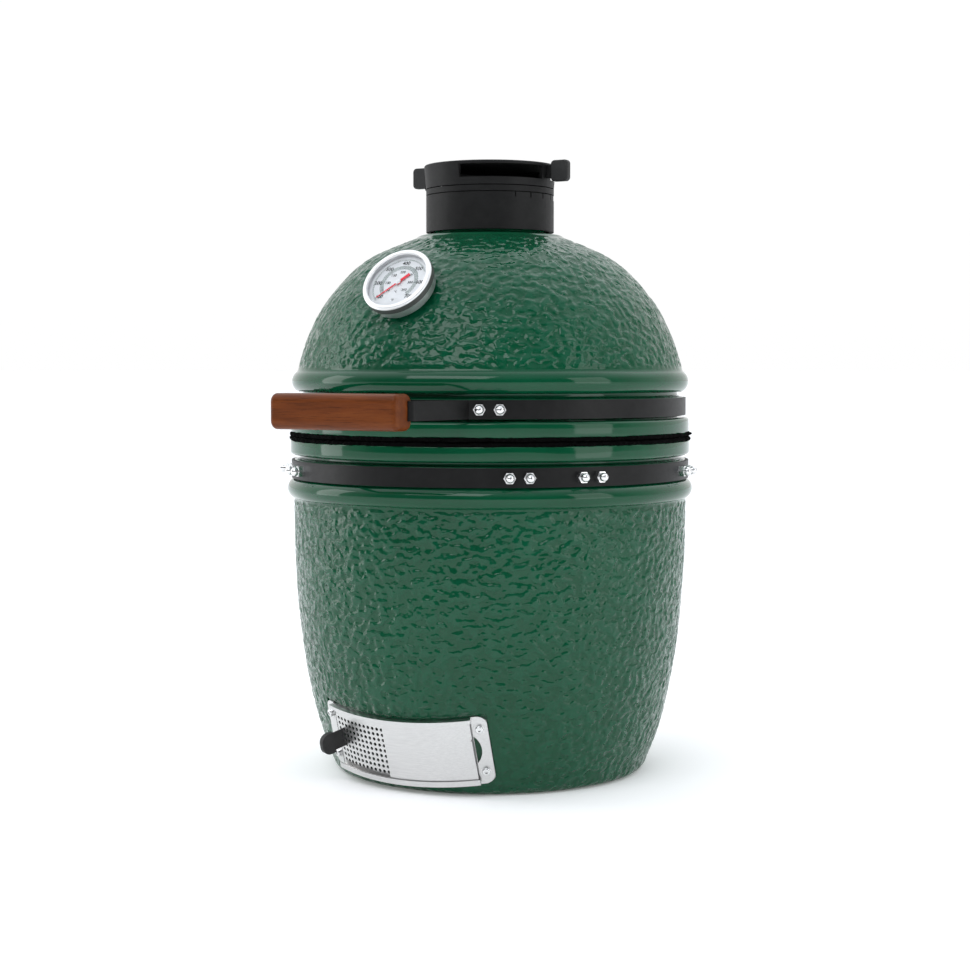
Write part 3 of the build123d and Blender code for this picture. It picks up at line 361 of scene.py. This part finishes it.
def steel(name, tone, rough, stretch, grain=0.22, anisotropic=0.0):
    """Stainless with brush marks that run along the axis with the smallest stretch."""
    n = Nodes(name)
    marks = n.noise(900.0, 4.0, 0.7, stretch)
    dark = tuple(c * 0.86 for c in tone)
    colour = n.ramp(marks, [(0.3, dark), (0.7, tone)])
    smudge = n.spread(n.noise(30.0, 3.0), rough - 0.04, rough + 0.08)
    lines = n.bump(marks, grain, 0.05)
    return n.set(Base_Color=colour, Metallic=1.0, Roughness=smudge, Normal=lines, Anisotropic=anisotropic)


def bezel():
    """The thermometer's ring: satin pale steel in front, with its walls below the face darkened by painted
    shade.
    """
    n = Nodes("bezel_satin")
    along = n.add("ShaderNodeVectorMath", operation="DOT_PRODUCT")
    matrix = gauge_matrix()
    n.link(n.where(), along.inputs[0])
    along.inputs[1].default_value = matrix.col[2].xyz
    height = n.math("SUBTRACT", along.outputs["Value"], matrix.col[2].xyz.dot(matrix.translation))
    # Painted shade mask: 0 on the bezel's face, 1 on its walls from about 1.5 to 2.25 mm below it.
    wall = n.ramp(n.math("MULTIPLY", height, -1.0 / (BEZEL_SHADE_DEPTH * MM)), [(0.5, 0.0), (0.75, 1.0)])
    marks = n.noise(700.0, 4.0, 0.7)
    front = n.ramp(marks, [(0.3, (0.80, 0.80, 0.80)), (0.7, (0.87, 0.87, 0.87))])
    # Painted shade: the walls take a dark copy of the same satin steel.
    colour = n.mix(wall, front, (0.15, 0.15, 0.147))
    return n.set(Base_Color=colour, Metallic=1.0, Roughness=n.spread(marks, 0.38, 0.48),
                 Normal=n.bump(marks, 0.06, 0.05))


def felt():
    """Black felt: matted fibres that return almost no light."""
    n = Nodes("black_felt")
    colour = n.ramp(n.noise(700.0, 4.0, 0.7), [(0.3, 0.0006), (0.75, 0.004)])
    fibres = n.bump(n.noise(1500.0, 4.0, 0.75, (1.0, 1.0, 0.5)), 0.9, 0.6)
    return n.set(Base_Color=colour, Roughness=0.97, Normal=fibres, Specular_IOR_Level=0.04)


def wood():
    """Red-brown lacquered hardwood with its grain along X."""
    n = Nodes("handle_wood")
    rings = n.noise(120.0, 5.0, 0.6, (0.10, 1.0, 1.0), 0.4)
    fibres = n.noise(900.0, 4.0, 0.7, (0.05, 1.0, 1.0))
    base = n.ramp(rings, [
        (0.25, (0.085, 0.019, 0.002)), (0.55, (0.135, 0.031, 0.004)), (0.8, (0.180, 0.048, 0.008)),
    ])
    pores = n.ramp(fibres, [(0.30, 0.55), (0.5, 1.0)])
    colour = n.mix(1.0, base, pores, "MULTIPLY")
    grain = n.bump(fibres, 0.25, 0.15)
    return n.set(Base_Color=colour, Roughness=n.spread(rings, 0.30, 0.44), Normal=grain,
                 Specular_IOR_Level=0.16)


def silicone():
    """Matt black moulded silicone."""
    n = Nodes("black_silicone")
    colour = n.ramp(n.noise(200.0, 3.0), [(0.3, 0.005), (0.7, 0.010)])
    skin = n.bump(n.noise(2600.0, 2.0), 0.25, 0.05)
    return n.set(Base_Color=colour, Roughness=n.spread(n.noise(120.0), 0.5, 0.66), Normal=skin)


def enamel(name, tone, rough):
    """A smooth printed or painted surface with a faint mottle."""
    n = Nodes(name)
    colour = n.ramp(n.noise(160.0, 3.0), [(0.3, tuple(c * 0.94 for c in tone)), (0.7, tone)])
    return n.set(Base_Color=colour, Roughness=n.spread(n.noise(300.0), rough - 0.04, rough + 0.04))


def glass():
    """The gauge's flat cover glass."""
    n = Nodes("gauge_glass")
    smear = n.spread(n.noise(60.0, 3.0), 0.0, 0.035)
    n.material.blend_method = "BLEND"
    return n.set(Base_Color=(1.0, 1.0, 1.0), Roughness=smear, Transmission_Weight=1.0, IOR=1.05, Alpha=0.25)


# ------------------------------------------------------------------ mesh helpers
def new_object(name, vertices, faces, body, material, smooth=True):
    """A mesh piece from numpy vertices in millimetres and a list of faces."""
    mesh = bpy.data.meshes.new(name)
    mesh.from_pydata((np.asarray(vertices) * MM).tolist(), [], faces)
    mesh.update()
    piece = bpy.data.objects.new(name, mesh)
    SCENE.collection.objects.link(piece)
    for one in material if isinstance(material, (list, tuple)) else [material]:
        mesh.materials.append(one)
    if smooth:
        mesh.shade_smooth()
    if body:
        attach(piece, body)
    return piece


def catmull_rom(points, steps=24):
    """A smooth curve through the points, with end points mirrored outwards."""
    p = np.asarray(points, float)
    p = np.vstack([2 * p[0] - p[1], p, 2 * p[-1] - p[-2]])
    out = []
    t = np.linspace(0, 1, steps, endpoint=False)[:, None]
    for a, b, c, d in zip(p, p[1:], p[2:], p[3:]):
        square, cube = 2 * a - 5 * b + 4 * c - d, 3 * b - a - 3 * c + d
        out.append(0.5 * (2 * b + (c - a) * t + square * t**2 + cube * t**3))
    return np.vstack([*out, p[-2]])


def arc_through(a, b, c, steps=24):
    """The circular arc from a through b to c."""
    (ax, ay), (bx, by), (cx, cy) = a, b, c
    d = 2 * (ax * (by - cy) + bx * (cy - ay) + cx * (ay - by))
    ux = ((ax**2 + ay**2) * (by - cy) + (bx**2 + by**2) * (cy - ay) + (cx**2 + cy**2) * (ay - by)) / d
    uy = ((ax**2 + ay**2) * (cx - bx) + (bx**2 + by**2) * (ax - cx) + (cx**2 + cy**2) * (bx - ax)) / d
    t0, t1, t2 = (atan2(y - uy, x - ux) for x, y in (a, b, c))
    turn = (t2 - t0) % (2 * pi)
    if (t1 - t0) % (2 * pi) > turn:
        turn -= 2 * pi
    r = hypot(ax - ux, ay - uy)
    t = t0 + turn * np.linspace(0, 1, steps)
    return np.stack([ux + r * np.cos(t), uy + r * np.sin(t)], 1)


def spaced(curve, step):
    """The curve resampled at even steps."""
    curve = np.asarray(curve, float)
    length = np.concatenate([[0], np.cumsum(np.linalg.norm(np.diff(curve, axis=0), axis=1))])
    count = max(2, int(round(length[-1] / step)) + 1)
    s = np.linspace(0, length[-1], count)
    return np.stack([np.interp(s, length, curve[:, k]) for k in (0, 1)], 1)


def rounded(points, radius, steps=4):
    """An open outline with its inner corners rounded."""
    p = np.asarray(points, float)
    out = [p[0]]
    for a, b, c in zip(p, p[1:], p[2:]):
        r = min(radius, 0.45 * np.linalg.norm(b - a), 0.45 * np.linalg.norm(c - b))
        start = b + (a - b) / np.linalg.norm(a - b) * r
        end = b + (c - b) / np.linalg.norm(c - b) * r
        for t in np.linspace(0, 1, steps):
            out.append((1 - t) ** 2 * start + 2 * t * (1 - t) * b + t**2 * end)
    out.append(p[-1])
    return np.array(out)


class Waves:
    """A smooth random field of about one wavelength, made of plane waves in seeded random directions."""

    def __init__(self, seed, wavelength, count=90, spread=0.3):
        rng = np.random.default_rng(seed)
        direction = rng.normal(size=(count, 3))
        direction /= np.linalg.norm(direction, axis=1)[:, None]
        length = wavelength * (1 + spread * rng.uniform(-1, 1, count))
        self.k = direction * (2 * pi / length)[:, None]
        self.phase = rng.uniform(0, 2 * pi, count)
        self.gain = sqrt(2 / count)

    def __call__(self, points):
        total = np.zeros(len(points))
        for k, phase in zip(self.k, self.phase):
            total += np.cos(points @ k + phase)
        return total * self.gain


RIDGES = Waves(7, RIDGE_WAVE)
SMALL_RIDGES = Waves(8, RIDGE_WAVE * 0.6)
WARP = [Waves(9 + i, 26.0, 24) for i in range(3)]
SWELL = Waves(20, 75.0, 24)


def ridge_height(points):
    """The glaze's wavy ridges and hollows, from -1 to 1."""
    warped = points + 1.6 * np.stack([w(points) for w in WARP], 1)
    return np.tanh(1.25 * (RIDGES(warped) + 0.45 * SMALL_RIDGES(warped)))


def smoothstep(x):
    x = np.clip(x, 0.0, 1.0)
    return x * x * (3 - 2 * x)


def around_axis(rows, columns):
    """The points of (radius, height) rows turned about Z, row by row."""
    ring = np.arange(columns) * 2 * pi / columns
    r, z = rows[:, 0][:, None], rows[:, 1][:, None] + 0 * ring
    return np.stack([r * np.sin(ring), -r * np.cos(ring), z], -1).reshape(-1, 3)


def ring_faces(rows, columns, start=0):
    """The quads between neighbouring rows of a turned surface."""
    faces = []
    for i in range(rows - 1):
        a, b = start + i * columns, start + (i + 1) * columns
        for j in range(columns):
            k = (j + 1) % columns
            faces.append((a + j, a + k, b + k, b + j))
    return faces


def bridge_faces(fine_start, coarse_start, flip):
    """The faces that join a fine ring to a coarse one."""
    faces, per = [], FINE_COLUMNS // COARSE_COLUMNS
    for j in range(COARSE_COLUMNS):
        k = (j + 1) % COARSE_COLUMNS
        fine = [fine_start + (j * per + i) % FINE_COLUMNS for i in range(per + 1)]
        face = (*fine, coarse_start + k, coarse_start + j)
        faces.append(face[::-1] if flip else face)
    return faces


def store(mesh, name, values):
    """Keeps one number per vertex for the shader."""
    layer = mesh.attributes.new(name, "FLOAT", "POINT")
    layer.data.foreach_set("value", values.astype(np.float32))


def outward_normals(mesh):
    """Makes every face look out of the closed surface."""
    bm = bmesh.new()
    bm.from_mesh(mesh)
    bmesh.ops.recalc_face_normals(bm, faces=bm.faces)
    bm.to_mesh(mesh)
    bm.free()
    mesh.update()


def revolved_shell(name, outer, inner, mask, materials):
    """A closed shell turned about Z: a fine outside with real ridges and a coarser inside.

    outer and inner are (radius, height) rows from the outside's first point round to the inside's last.
    mask gives how much of the ridges' height each outer row carries.
    """
    slope = np.gradient(outer, axis=0)
    normal = np.stack([slope[:, 1], -slope[:, 0]], 1)
    normal /= np.linalg.norm(normal, axis=1)[:, None]
    points, out = around_axis(outer, FINE_COLUMNS), around_axis(normal, FINE_COLUMNS)
    cover = np.repeat(mask, FINE_COLUMNS)
    height = RIDGE_DEPTH * ridge_height(points) * cover + SWELL_DEPTH * SWELL(points)
    points = points + out * height[:, None]
    inside = around_axis(inner, COARSE_COLUMNS)
    start, last = len(points), len(points) + (len(inner) - 1) * COARSE_COLUMNS
    faces = ring_faces(len(outer), FINE_COLUMNS) + bridge_faces(start - FINE_COLUMNS, start, False)
    glazed = len(faces)
    faces += ring_faces(len(inner), COARSE_COLUMNS, start) + bridge_faces(0, last, True)
    piece = new_object(name, np.vstack([points, inside]), faces, None, materials)
    mesh = piece.data
    mesh.polygons.foreach_set("material_index", [0] * glazed + [1] * (len(faces) - glazed))
    store(mesh, "ridge_cover", np.concatenate([cover, np.zeros(len(inside))]))
    outward_normals(mesh)
    return piece


def cut_with(piece, cutter):
    """Takes the cutter's volume out of the piece and removes the cutter."""
    modifier = piece.modifiers.new("cut", "BOOLEAN")
    modifier.operation = "DIFFERENCE"
    modifier.object = cutter
    modifier.solver = "EXACT"
    bpy.context.view_layer.update()
    evaluated = piece.evaluated_get(bpy.context.evaluated_depsgraph_get())
    mesh = bpy.data.meshes.new_from_object(evaluated)
    piece.modifiers.remove(modifier)
    old = piece.data
    piece.data = mesh
    mesh.name = piece.name
    bpy.data.meshes.remove(old)
    bpy.data.objects.remove(cutter)


def cutter_object(bm):
    mesh = bpy.data.meshes.new("cutter")
    bm.to_mesh(mesh)
    bm.free()
    cutter = bpy.data.objects.new("cutter", mesh)
    SCENE.collection.objects.link(cutter)
    return cutter


def box_cutter(matrix, size):
    """A box of the given full size, in millimetres, placed by the matrix."""
    bm = bmesh.new()
    bmesh.ops.create_cube(bm, size=1.0)
    bmesh.ops.transform(bm, matrix=matrix @ Matrix.Diagonal((*(s * MM for s in size), 1.0)), verts=bm.verts)
    return cutter_object(bm)


def pocket_cutter(matrix):
    """The curved slab that the draft frame's seat takes out of the base."""
    bm = bmesh.new()
    turns = np.linspace(-POCKET_PSI, POCKET_PSI, 33)
    outline = [(r * sin(a), -r * cos(a)) for r, sweep in zip(POCKET_R, (turns, turns[::-1])) for a in sweep]
    ends = [[bm.verts.new((x * MM, y * MM, h * MM)) for x, y in outline] for h in (-POCKET_HALF, POCKET_HALF)]
    low, high = (bm.faces.new(ring) for ring in ends)
    for i in range(len(outline)):
        k = (i + 1) % len(outline)
        bm.faces.new((ends[0][i], ends[0][k], ends[1][k], ends[1][i]))
    bmesh.ops.triangulate(bm, faces=[low, high])
    bmesh.ops.recalc_face_normals(bm, faces=bm.faces)
    bmesh.ops.transform(bm, matrix=matrix, verts=bm.verts)
    return cutter_object(bm)


def rod_cutter(matrix, radius, low, high):
    """A round rod along the matrix's Z axis, in millimetres."""
    bm = bmesh.new()
    place = matrix @ Matrix.Translation((0, 0, (low + high) / 2 * MM))
    bmesh.ops.create_cone(bm, cap_ends=True, segments=48, radius1=radius * MM, radius2=radius * MM,
                          depth=(high - low) * MM, matrix=place)
    return cutter_object(bm)


# ------------------------------------------------------------------ ceramic shells
def placed(x, z, origin):
    """The matrix of a frame from its X and Z directions and its origin in millimetres."""
    x, z = Vector(x), Vector(z)
    matrix = Matrix((x, z.cross(x), z)).transposed().to_4x4()
    matrix.translation = Vector(origin) * MM
    return matrix


def draft_matrix():
    """The draft door's own frame: its middle height on its curve's axis, in metres."""
    t, turn = DRAFT_LEAN, DRAFT_TURN
    return placed((cos(turn), sin(turn), 0), (sin(t) * sin(turn), -sin(t) * cos(turn), cos(t)), DRAFT_C)


def gauge_matrix():
    """The dial's frame: X right, Y up the dial and Z out of it, in metres."""
    return placed((1, 0, 0), (0, -cos(GAUGE_TILT), sin(GAUGE_TILT)), GAUGE_FACE)


def fade(count, step, low, high):
    """How much ridge each wall row carries: none at the very ends, all of it beyond the two fade lengths."""
    along = np.arange(count) * step
    return smoothstep(along / low) * smoothstep((along[-1] - along) / high)


def seat_shadow(piece):
    """Smooths the glaze's ridges away where the base is moulded round the draft frame."""
    mesh = piece.data
    local = np.array([v.co for v in mesh.vertices]) / MM
    back = np.array(draft_matrix().inverted())
    own = local @ back[:3, :3].T + back[:3, 3] / MM
    psi = np.degrees(np.arctan2(own[:, 0], -own[:, 1]))
    near = smoothstep((SMOOTH_PSI - np.abs(psi)) / SMOOTH_PSI_FADE) * (own[:, 1] < 0)
    near *= smoothstep((SMOOTH_HALF - np.abs(own[:, 2])) / SMOOTH_HALF_FADE)
    cover = np.empty(len(mesh.vertices), np.float32)
    layer = mesh.attributes["ridge_cover"].data
    layer.foreach_get("value", cover)
    layer.foreach_set("value", (cover * (1 - near)).astype(np.float32))


def base_shell(materials):
    """The egg's lower half, cut for the draft door's seat and its air passage."""
    foot = arc_through(*BASE_FOOT)
    wall = spaced(np.vstack([foot, catmull_rom(BASE_OUTER)[1:]]), ROW_STEP)
    bead = spaced(arc_through(*BASE_BEAD), BEAD_STEP)[1:]
    outer = np.vstack([wall, bead, rounded(BASE_RIM, 1.2)])
    mask = np.zeros(len(outer))
    mask[: len(wall)] = fade(len(wall), ROW_STEP, 14.0, 5.0)
    inner = np.vstack([rounded(BASE_LIP, 1.5), spaced(catmull_rom(BASE_INNER), INNER_STEP)[1:], BASE_FLOOR])
    piece = revolved_shell("base_shell_glazed", outer, inner, mask, materials)
    seat_shadow(piece)
    seat = draft_matrix()
    middle = -(TUNNEL_WIDTH / 2 + 1) * MM
    cut_with(piece, pocket_cutter(seat))
    for size, y in ((TUNNEL_OUTER, TUNNEL_OUTER_Y), (TUNNEL_INNER, TUNNEL_INNER_Y)):
        cut_with(piece, box_cutter(seat @ Matrix.Translation((middle, y * MM, 0)), size))
    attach(piece, "base")
    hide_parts("base_shell")


def dome_shell(materials):
    """The egg's lid with its neck, drilled for the thermometer's stem."""
    rim = rounded(DOME_RIM, 1.2)
    bead = spaced(arc_through(*DOME_BEAD), BEAD_STEP)
    wall = spaced(catmull_rom(DOME_OUTER), ROW_STEP)[1:]
    outer = np.vstack([rim, bead, wall, rounded(DOME_NECK, 1.8, 5)])
    mask = np.zeros(len(outer))
    first = len(rim) + len(bead)
    mask[first: first + len(wall)] = fade(len(wall), ROW_STEP, 5.0, 12.0)
    inner = np.vstack([DOME_BORE, spaced(catmull_rom(DOME_INNER), INNER_STEP), DOME_INNER_LIP])
    piece = revolved_shell("dome_shell_glazed", outer, inner, mask, materials)
    cut_with(piece, rod_cutter(gauge_matrix(), STEM_HOLE_R, *STEM_HOLE_Z))
    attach(piece, "dome")
    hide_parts("dome_shell")


# ------------------------------------------------------------------ felt gaskets
def felt_ring(body, material):
    """A felt gasket whose outer edge is squeezed out unevenly and frays a little at its corners."""
    low, high = FELT_Z[body]
    face, back = (high, low) if body == "base" else (low, high)
    r0, r1 = FELT_R
    depth = back - face
    section = [(r0, back), (r0, face), (r1 - 4, face), (r1 - 1.2, face), (r1 - 0.2, face + 0.22 * depth),
               (r1, face + 0.5 * depth), (r1 - 0.1, face + 0.8 * depth), (r1 - 0.8, back), (r1 - 4, back)]
    points = around_axis(np.array(section), FELT_COLUMNS)
    seed = 40 if body == "base" else 50
    bulge = 0.7 * Waves(seed, 24.0, 30)(points) + 0.55 * Waves(seed + 1, 6.0, 60)(points)
    fray = 0.28 * Waves(seed + 2, 3.2, 60)(points)
    free = np.repeat([0, 0, 0, 0.7, 1, 1, 1, 0.7, 0], FELT_COLUMNS)
    radius = np.hypot(points[:, 0], points[:, 1])
    scale = 1 + free * (bulge + fray) / radius
    points[:, :2] *= scale[:, None]
    inward = np.sign(depth) * np.abs(0.35 * Waves(seed + 3, 9.0, 50)(points))
    points[:, 2] += np.repeat([0, 0, 0, 1, 0.6, 0, 0, 0, 0], FELT_COLUMNS) * inward
    faces = ring_faces(len(section), FELT_COLUMNS)
    last = (len(section) - 1) * FELT_COLUMNS
    for j in range(FELT_COLUMNS):
        k = (j + 1) % FELT_COLUMNS
        faces.append((last + j, last + k, k, j))
    piece = new_object(f"{body}_gasket_felt", points, faces, None, material)
    outward_normals(piece.data)
    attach(piece, body)
    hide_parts(f"{body}_gasket")


# ------------------------------------------------------------------ hinge springs
def wire_along(path):
    """A round wire's vertices and faces along the path, closed at both ends."""
    tangent = np.gradient(path, axis=0)
    tangent /= np.linalg.norm(tangent, axis=1)[:, None]
    across = np.cross(tangent, (1.0, 0, 0))
    across /= np.linalg.norm(across, axis=1)[:, None]
    third = np.cross(tangent, across)
    around = np.arange(WIRE_SIDES) * 2 * pi / WIRE_SIDES
    rim = np.cos(around)[None, :, None] * across[:, None] + np.sin(around)[None, :, None] * third[:, None]
    tube = path[:, None] + SPRING_WIRE_R * rim
    faces = []
    for i in range(len(path) - 1):
        a, b = i * WIRE_SIDES, (i + 1) * WIRE_SIDES
        for j in range(WIRE_SIDES):
            k = (j + 1) % WIRE_SIDES
            faces.append((a + j, a + k, b + k, b + j))
    last = (len(path) - 1) * WIRE_SIDES
    faces += [tuple(range(WIRE_SIDES))[::-1], tuple(range(last, last + WIRE_SIDES))]
    return tube.reshape(-1, 3), faces


def hinge_spring(side, material):
    """A torsion spring with one leg on the dome's bracket and one on the base's, blended between the two."""
    x0, x1 = SPRING_X
    feet = SPRING_FEET
    angle = [atan2(z - PIVOT_Z, y - PIVOT_Y) for y, z in feet]
    reach = [hypot(y - PIVOT_Y, z - PIVOT_Z) for y, z in feet]
    start = angle[0] - acos(SPRING_R / reach[0])
    end = angle[1] + acos(SPRING_R / reach[1])
    sweep = 2 * pi * SPRING_TURNS + (start - end) % (2 * pi)
    turns = np.linspace(0, sweep, 60 * SPRING_TURNS)
    coil = np.stack([
        x1 + (x0 - x1) * turns / sweep, PIVOT_Y + SPRING_R * np.cos(start - turns),
        PIVOT_Z + SPRING_R * np.sin(start - turns),
    ], 1)
    legs = [np.linspace(np.array([x, *foot]), point, 14) for x, foot, point in
            ((x1, feet[0], coil[0]), (x0, feet[1], coil[-1]))]
    path = np.vstack([legs[0][:-1], coil, legs[1][::-1][1:]])
    path[:, 0] *= side
    tube, faces = wire_along(path)
    name = "left" if side < 0 else "right"
    spring = new_object(f"hinge_spring_{name}_wire", tube, faces, None, material)
    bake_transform(spring)
    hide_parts(f"hinge_spring_{name}")


# ------------------------------------------------------------------ thermometer's printed dial
def dial_arc(r0, r1, a0, a1, steps):
    """A flat arc on the dial; angles are clockwise from straight up, in degrees."""
    a = np.radians(np.linspace(a0, a1, steps))
    edge = [np.stack([r * np.sin(a), r * np.cos(a), 0 * a], 1) for r in (r0, r1)]
    points = np.vstack(edge)
    return points, [(i, i + steps, i + steps + 1, i + 1) for i in range(steps - 1)]


def dial_figure(text, size, radius, angle):
    """One upright figure of the scale as a flat mesh."""
    curve = bpy.data.curves.new("figure", "FONT")
    curve.body = text
    curve.size = size * MM
    curve.align_x = "CENTER"
    curve.align_y = "CENTER"
    curve.resolution_u = 3
    curve.offset = 0.022 * size * MM
    holder = bpy.data.objects.new("figure", curve)
    SCENE.collection.objects.link(holder)
    bpy.context.view_layer.update()
    mesh = bpy.data.meshes.new_from_object(holder.evaluated_get(bpy.context.evaluated_depsgraph_get()))
    a = radians(angle)
    points = np.array([v.co for v in mesh.vertices]) / MM + (radius * sin(a), radius * cos(a), 0)
    faces = [tuple(p.vertices) for p in mesh.polygons]
    bpy.data.objects.remove(holder)
    bpy.data.curves.remove(curve)
    bpy.data.meshes.remove(mesh)
    return points, faces


def on_gauge(flat):
    """Points of the dial's own frame in the part's frame, in millimetres."""
    matrix = np.array(gauge_matrix())
    return flat @ matrix[:3, :3].T + matrix[:3, 3] / MM


def dial_print(name, shapes, material):
    """Printed shapes a tenth of a millimetre above the dial's face, as one thin piece."""
    vertices, faces, start = [], [], 0
    for points, found in shapes:
        vertices.append(points)
        faces += [tuple(start + i for i in face) for face in found]
        start += len(points)
    points = on_gauge(np.vstack(vertices) + (0, 0, DIAL_PRINT_Z))
    new_object(name, points, faces, "dome", material, smooth=False)


def gauge_dial_print(material, pale):
    """The dial's scales: a double outer line, large figures, a pale tick band and small inner figures."""
    start, end = DIAL_START, DIAL_START + DIAL_SWEEP
    shapes = []
    for i in range(7):
        angle = start + DIAL_SWEEP * i / 6
        shapes.append(dial_figure(str(100 * (i + 1)), 5.6, 22.9, angle))
        shapes.append(dial_figure(str(50 * (i + 1)), 4.0, 12.4, angle))
        shapes.append(dial_arc(16.2, 20.0, angle - 0.8, angle + 0.8, 2))
    shapes.append(dial_figure("\u00b0F", 3.6, 20.5, 180))
    shapes.append(dial_figure("\u00b0C", 3.0, 10.5, 180))
    dial_print("gauge_dial_scale", shapes, material)
    ticks = [dial_arc(16.3, 19.9, start + 3 * i - 0.75, start + 3 * i + 0.75, 2) for i in range(91)]
    ticks += [dial_arc(r, r + 0.3, start - 4, 62, 110) for r in (26.4, 27.2)]
    ticks += [dial_arc(r, r + 0.25, start, end, 90) for r in (16.1, 19.8)]
    dial_print("gauge_dial_band", ticks, pale)


def pointer_cap(material):
    """The pale cap on the pointer's hub, a low button in the middle of the dial."""
    rows = np.array([(0.01, -3.38), (2.7, -3.38), (3.0, -3.2), (2.8, -2.85), (1.7, -2.6), (0.01, -2.52)])
    columns = 32
    points = on_gauge(around_axis(rows, columns))
    faces = ring_faces(len(rows), columns)
    last = (len(rows) - 1) * columns
    faces += [tuple(range(columns)), tuple(range(last, last + columns))]
    piece = new_object("gauge_pointer_cap", points, faces, None, material)
    outward_normals(piece.data)
    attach(piece, "gauge_pointer")


# ------------------------------------------------------------------ finish the CAD nodes
def paint(names, material):
    """Gives each CAD node the material in place of its own."""
    for name in names:
        materials = NODES[name].data.materials
        materials.clear()
        materials.append(material)


def ease_edges(names):
    """Small round edges on CAD nodes, so that they catch the light."""
    for name in names:
        bevel = NODES[name].modifiers.new("eased", "BEVEL")
        bevel.width = EASED_EDGE * MM
        bevel.segments = 2
        bevel.limit_method = "ANGLE"
        bevel.angle_limit = radians(40)


place_camera()
light_studio()
lay_floor()

GLAZE, RAW = glaze(), raw_ceramic()
BAND_BLACK = powder_coat("band_black", 0.0035, 0.007, 0.40)
CAST_BLACK = powder_coat("vent_black", 0.004, 0.008, 0.50, 0.2)
TAB_GREY = powder_coat("tab_grey", 0.028, 0.042, 0.5)
IRON = powder_coat("grate_iron", 0.018, 0.035, 0.75, 0.5)
BRUSHED = steel("brushed_stainless", (0.72, 0.715, 0.71), 0.30, (0.05, 1.0, 1.0), 0.25, 0.5)
BRIGHT = steel("plated_steel", (0.84, 0.84, 0.84), 0.24, (1.0, 1.0, 1.0), 0.05)
SATIN = steel("satin_steel", (0.72, 0.72, 0.73), 0.30, (1.0, 1.0, 1.0), 0.12)
BEZEL = bezel()
SPRING = steel("spring_wire", (0.34, 0.34, 0.35), 0.3, (1.0, 1.0, 1.0), 0.1)
FELT, WOOD, SILICONE, GLASS = felt(), wood(), silicone(), glass()
DIAL = enamel("dial_white", (0.74, 0.76, 0.78), 0.4)
PRINT = enamel("dial_print", (0.012, 0.020, 0.018), 0.5)
BAND_GREY = enamel("dial_band", (0.17, 0.23, 0.21), 0.5)
RED = enamel("pointer_red", (0.75, 0.012, 0.03), 0.32)

base_shell([GLAZE, RAW])
dome_shell([GLAZE, RAW])
felt_ring("base", FELT)
felt_ring("dome", FELT)
hinge_spring(-1, SPRING)
hinge_spring(1, SPRING)
gauge_dial_print(PRINT, BAND_GREY)
pointer_cap(DIAL)

paint(["vent_sleeve_seal"], FELT)
paint(["lower_band", "upper_band", "hinge_lower_bracket", "hinge_upper_bracket", "handle_bracket_left",
       "handle_bracket_right"], BAND_BLACK)
paint(["lower_band_studs", "lower_band_cap_nuts", "hinge_lower_studs", "hinge_lower_nuts",
       "hinge_upper_studs", "hinge_upper_nuts", "handle_bracket_studs", "handle_bracket_cap_nuts",
       "hinge_pin", "hinge_pin_clips", "draft_frame_screws", "handle_screws", "vent_pivot_bolt",
       "vent_hinge_pin", "gauge_nut"], BRIGHT)
paint(["draft_frame", "draft_door", "draft_screen"], BRUSHED)
paint(["draft_screen_tab", "draft_screen_grip"], TAB_GREY)
paint(["gauge_case", "gauge_stem", "cooking_grid"], SATIN)
paint(["gauge_bezel"], BEZEL)
paint(["fire_box", "fire_plate", "fire_ring"], RAW)
paint(["fire_grate"], IRON)
paint(["vent_sleeve", "vent_rotor", "vent_hood"], CAST_BLACK)
paint(["vent_tab_cover_left", "vent_tab_cover_right"], SILICONE)
paint(["handle_grip"], WOOD)
paint(["gauge_dial"], DIAL)
paint(["gauge_glass"], GLASS)
paint(["gauge_pointer"], RED)
ease_edges(["lower_band", "upper_band", "handle_bracket_left", "handle_bracket_right", "hinge_lower_bracket",
            "hinge_upper_bracket", "draft_frame", "vent_sleeve", "vent_rotor", "vent_hood"])

SCENE.view_settings.view_transform = "Standard"
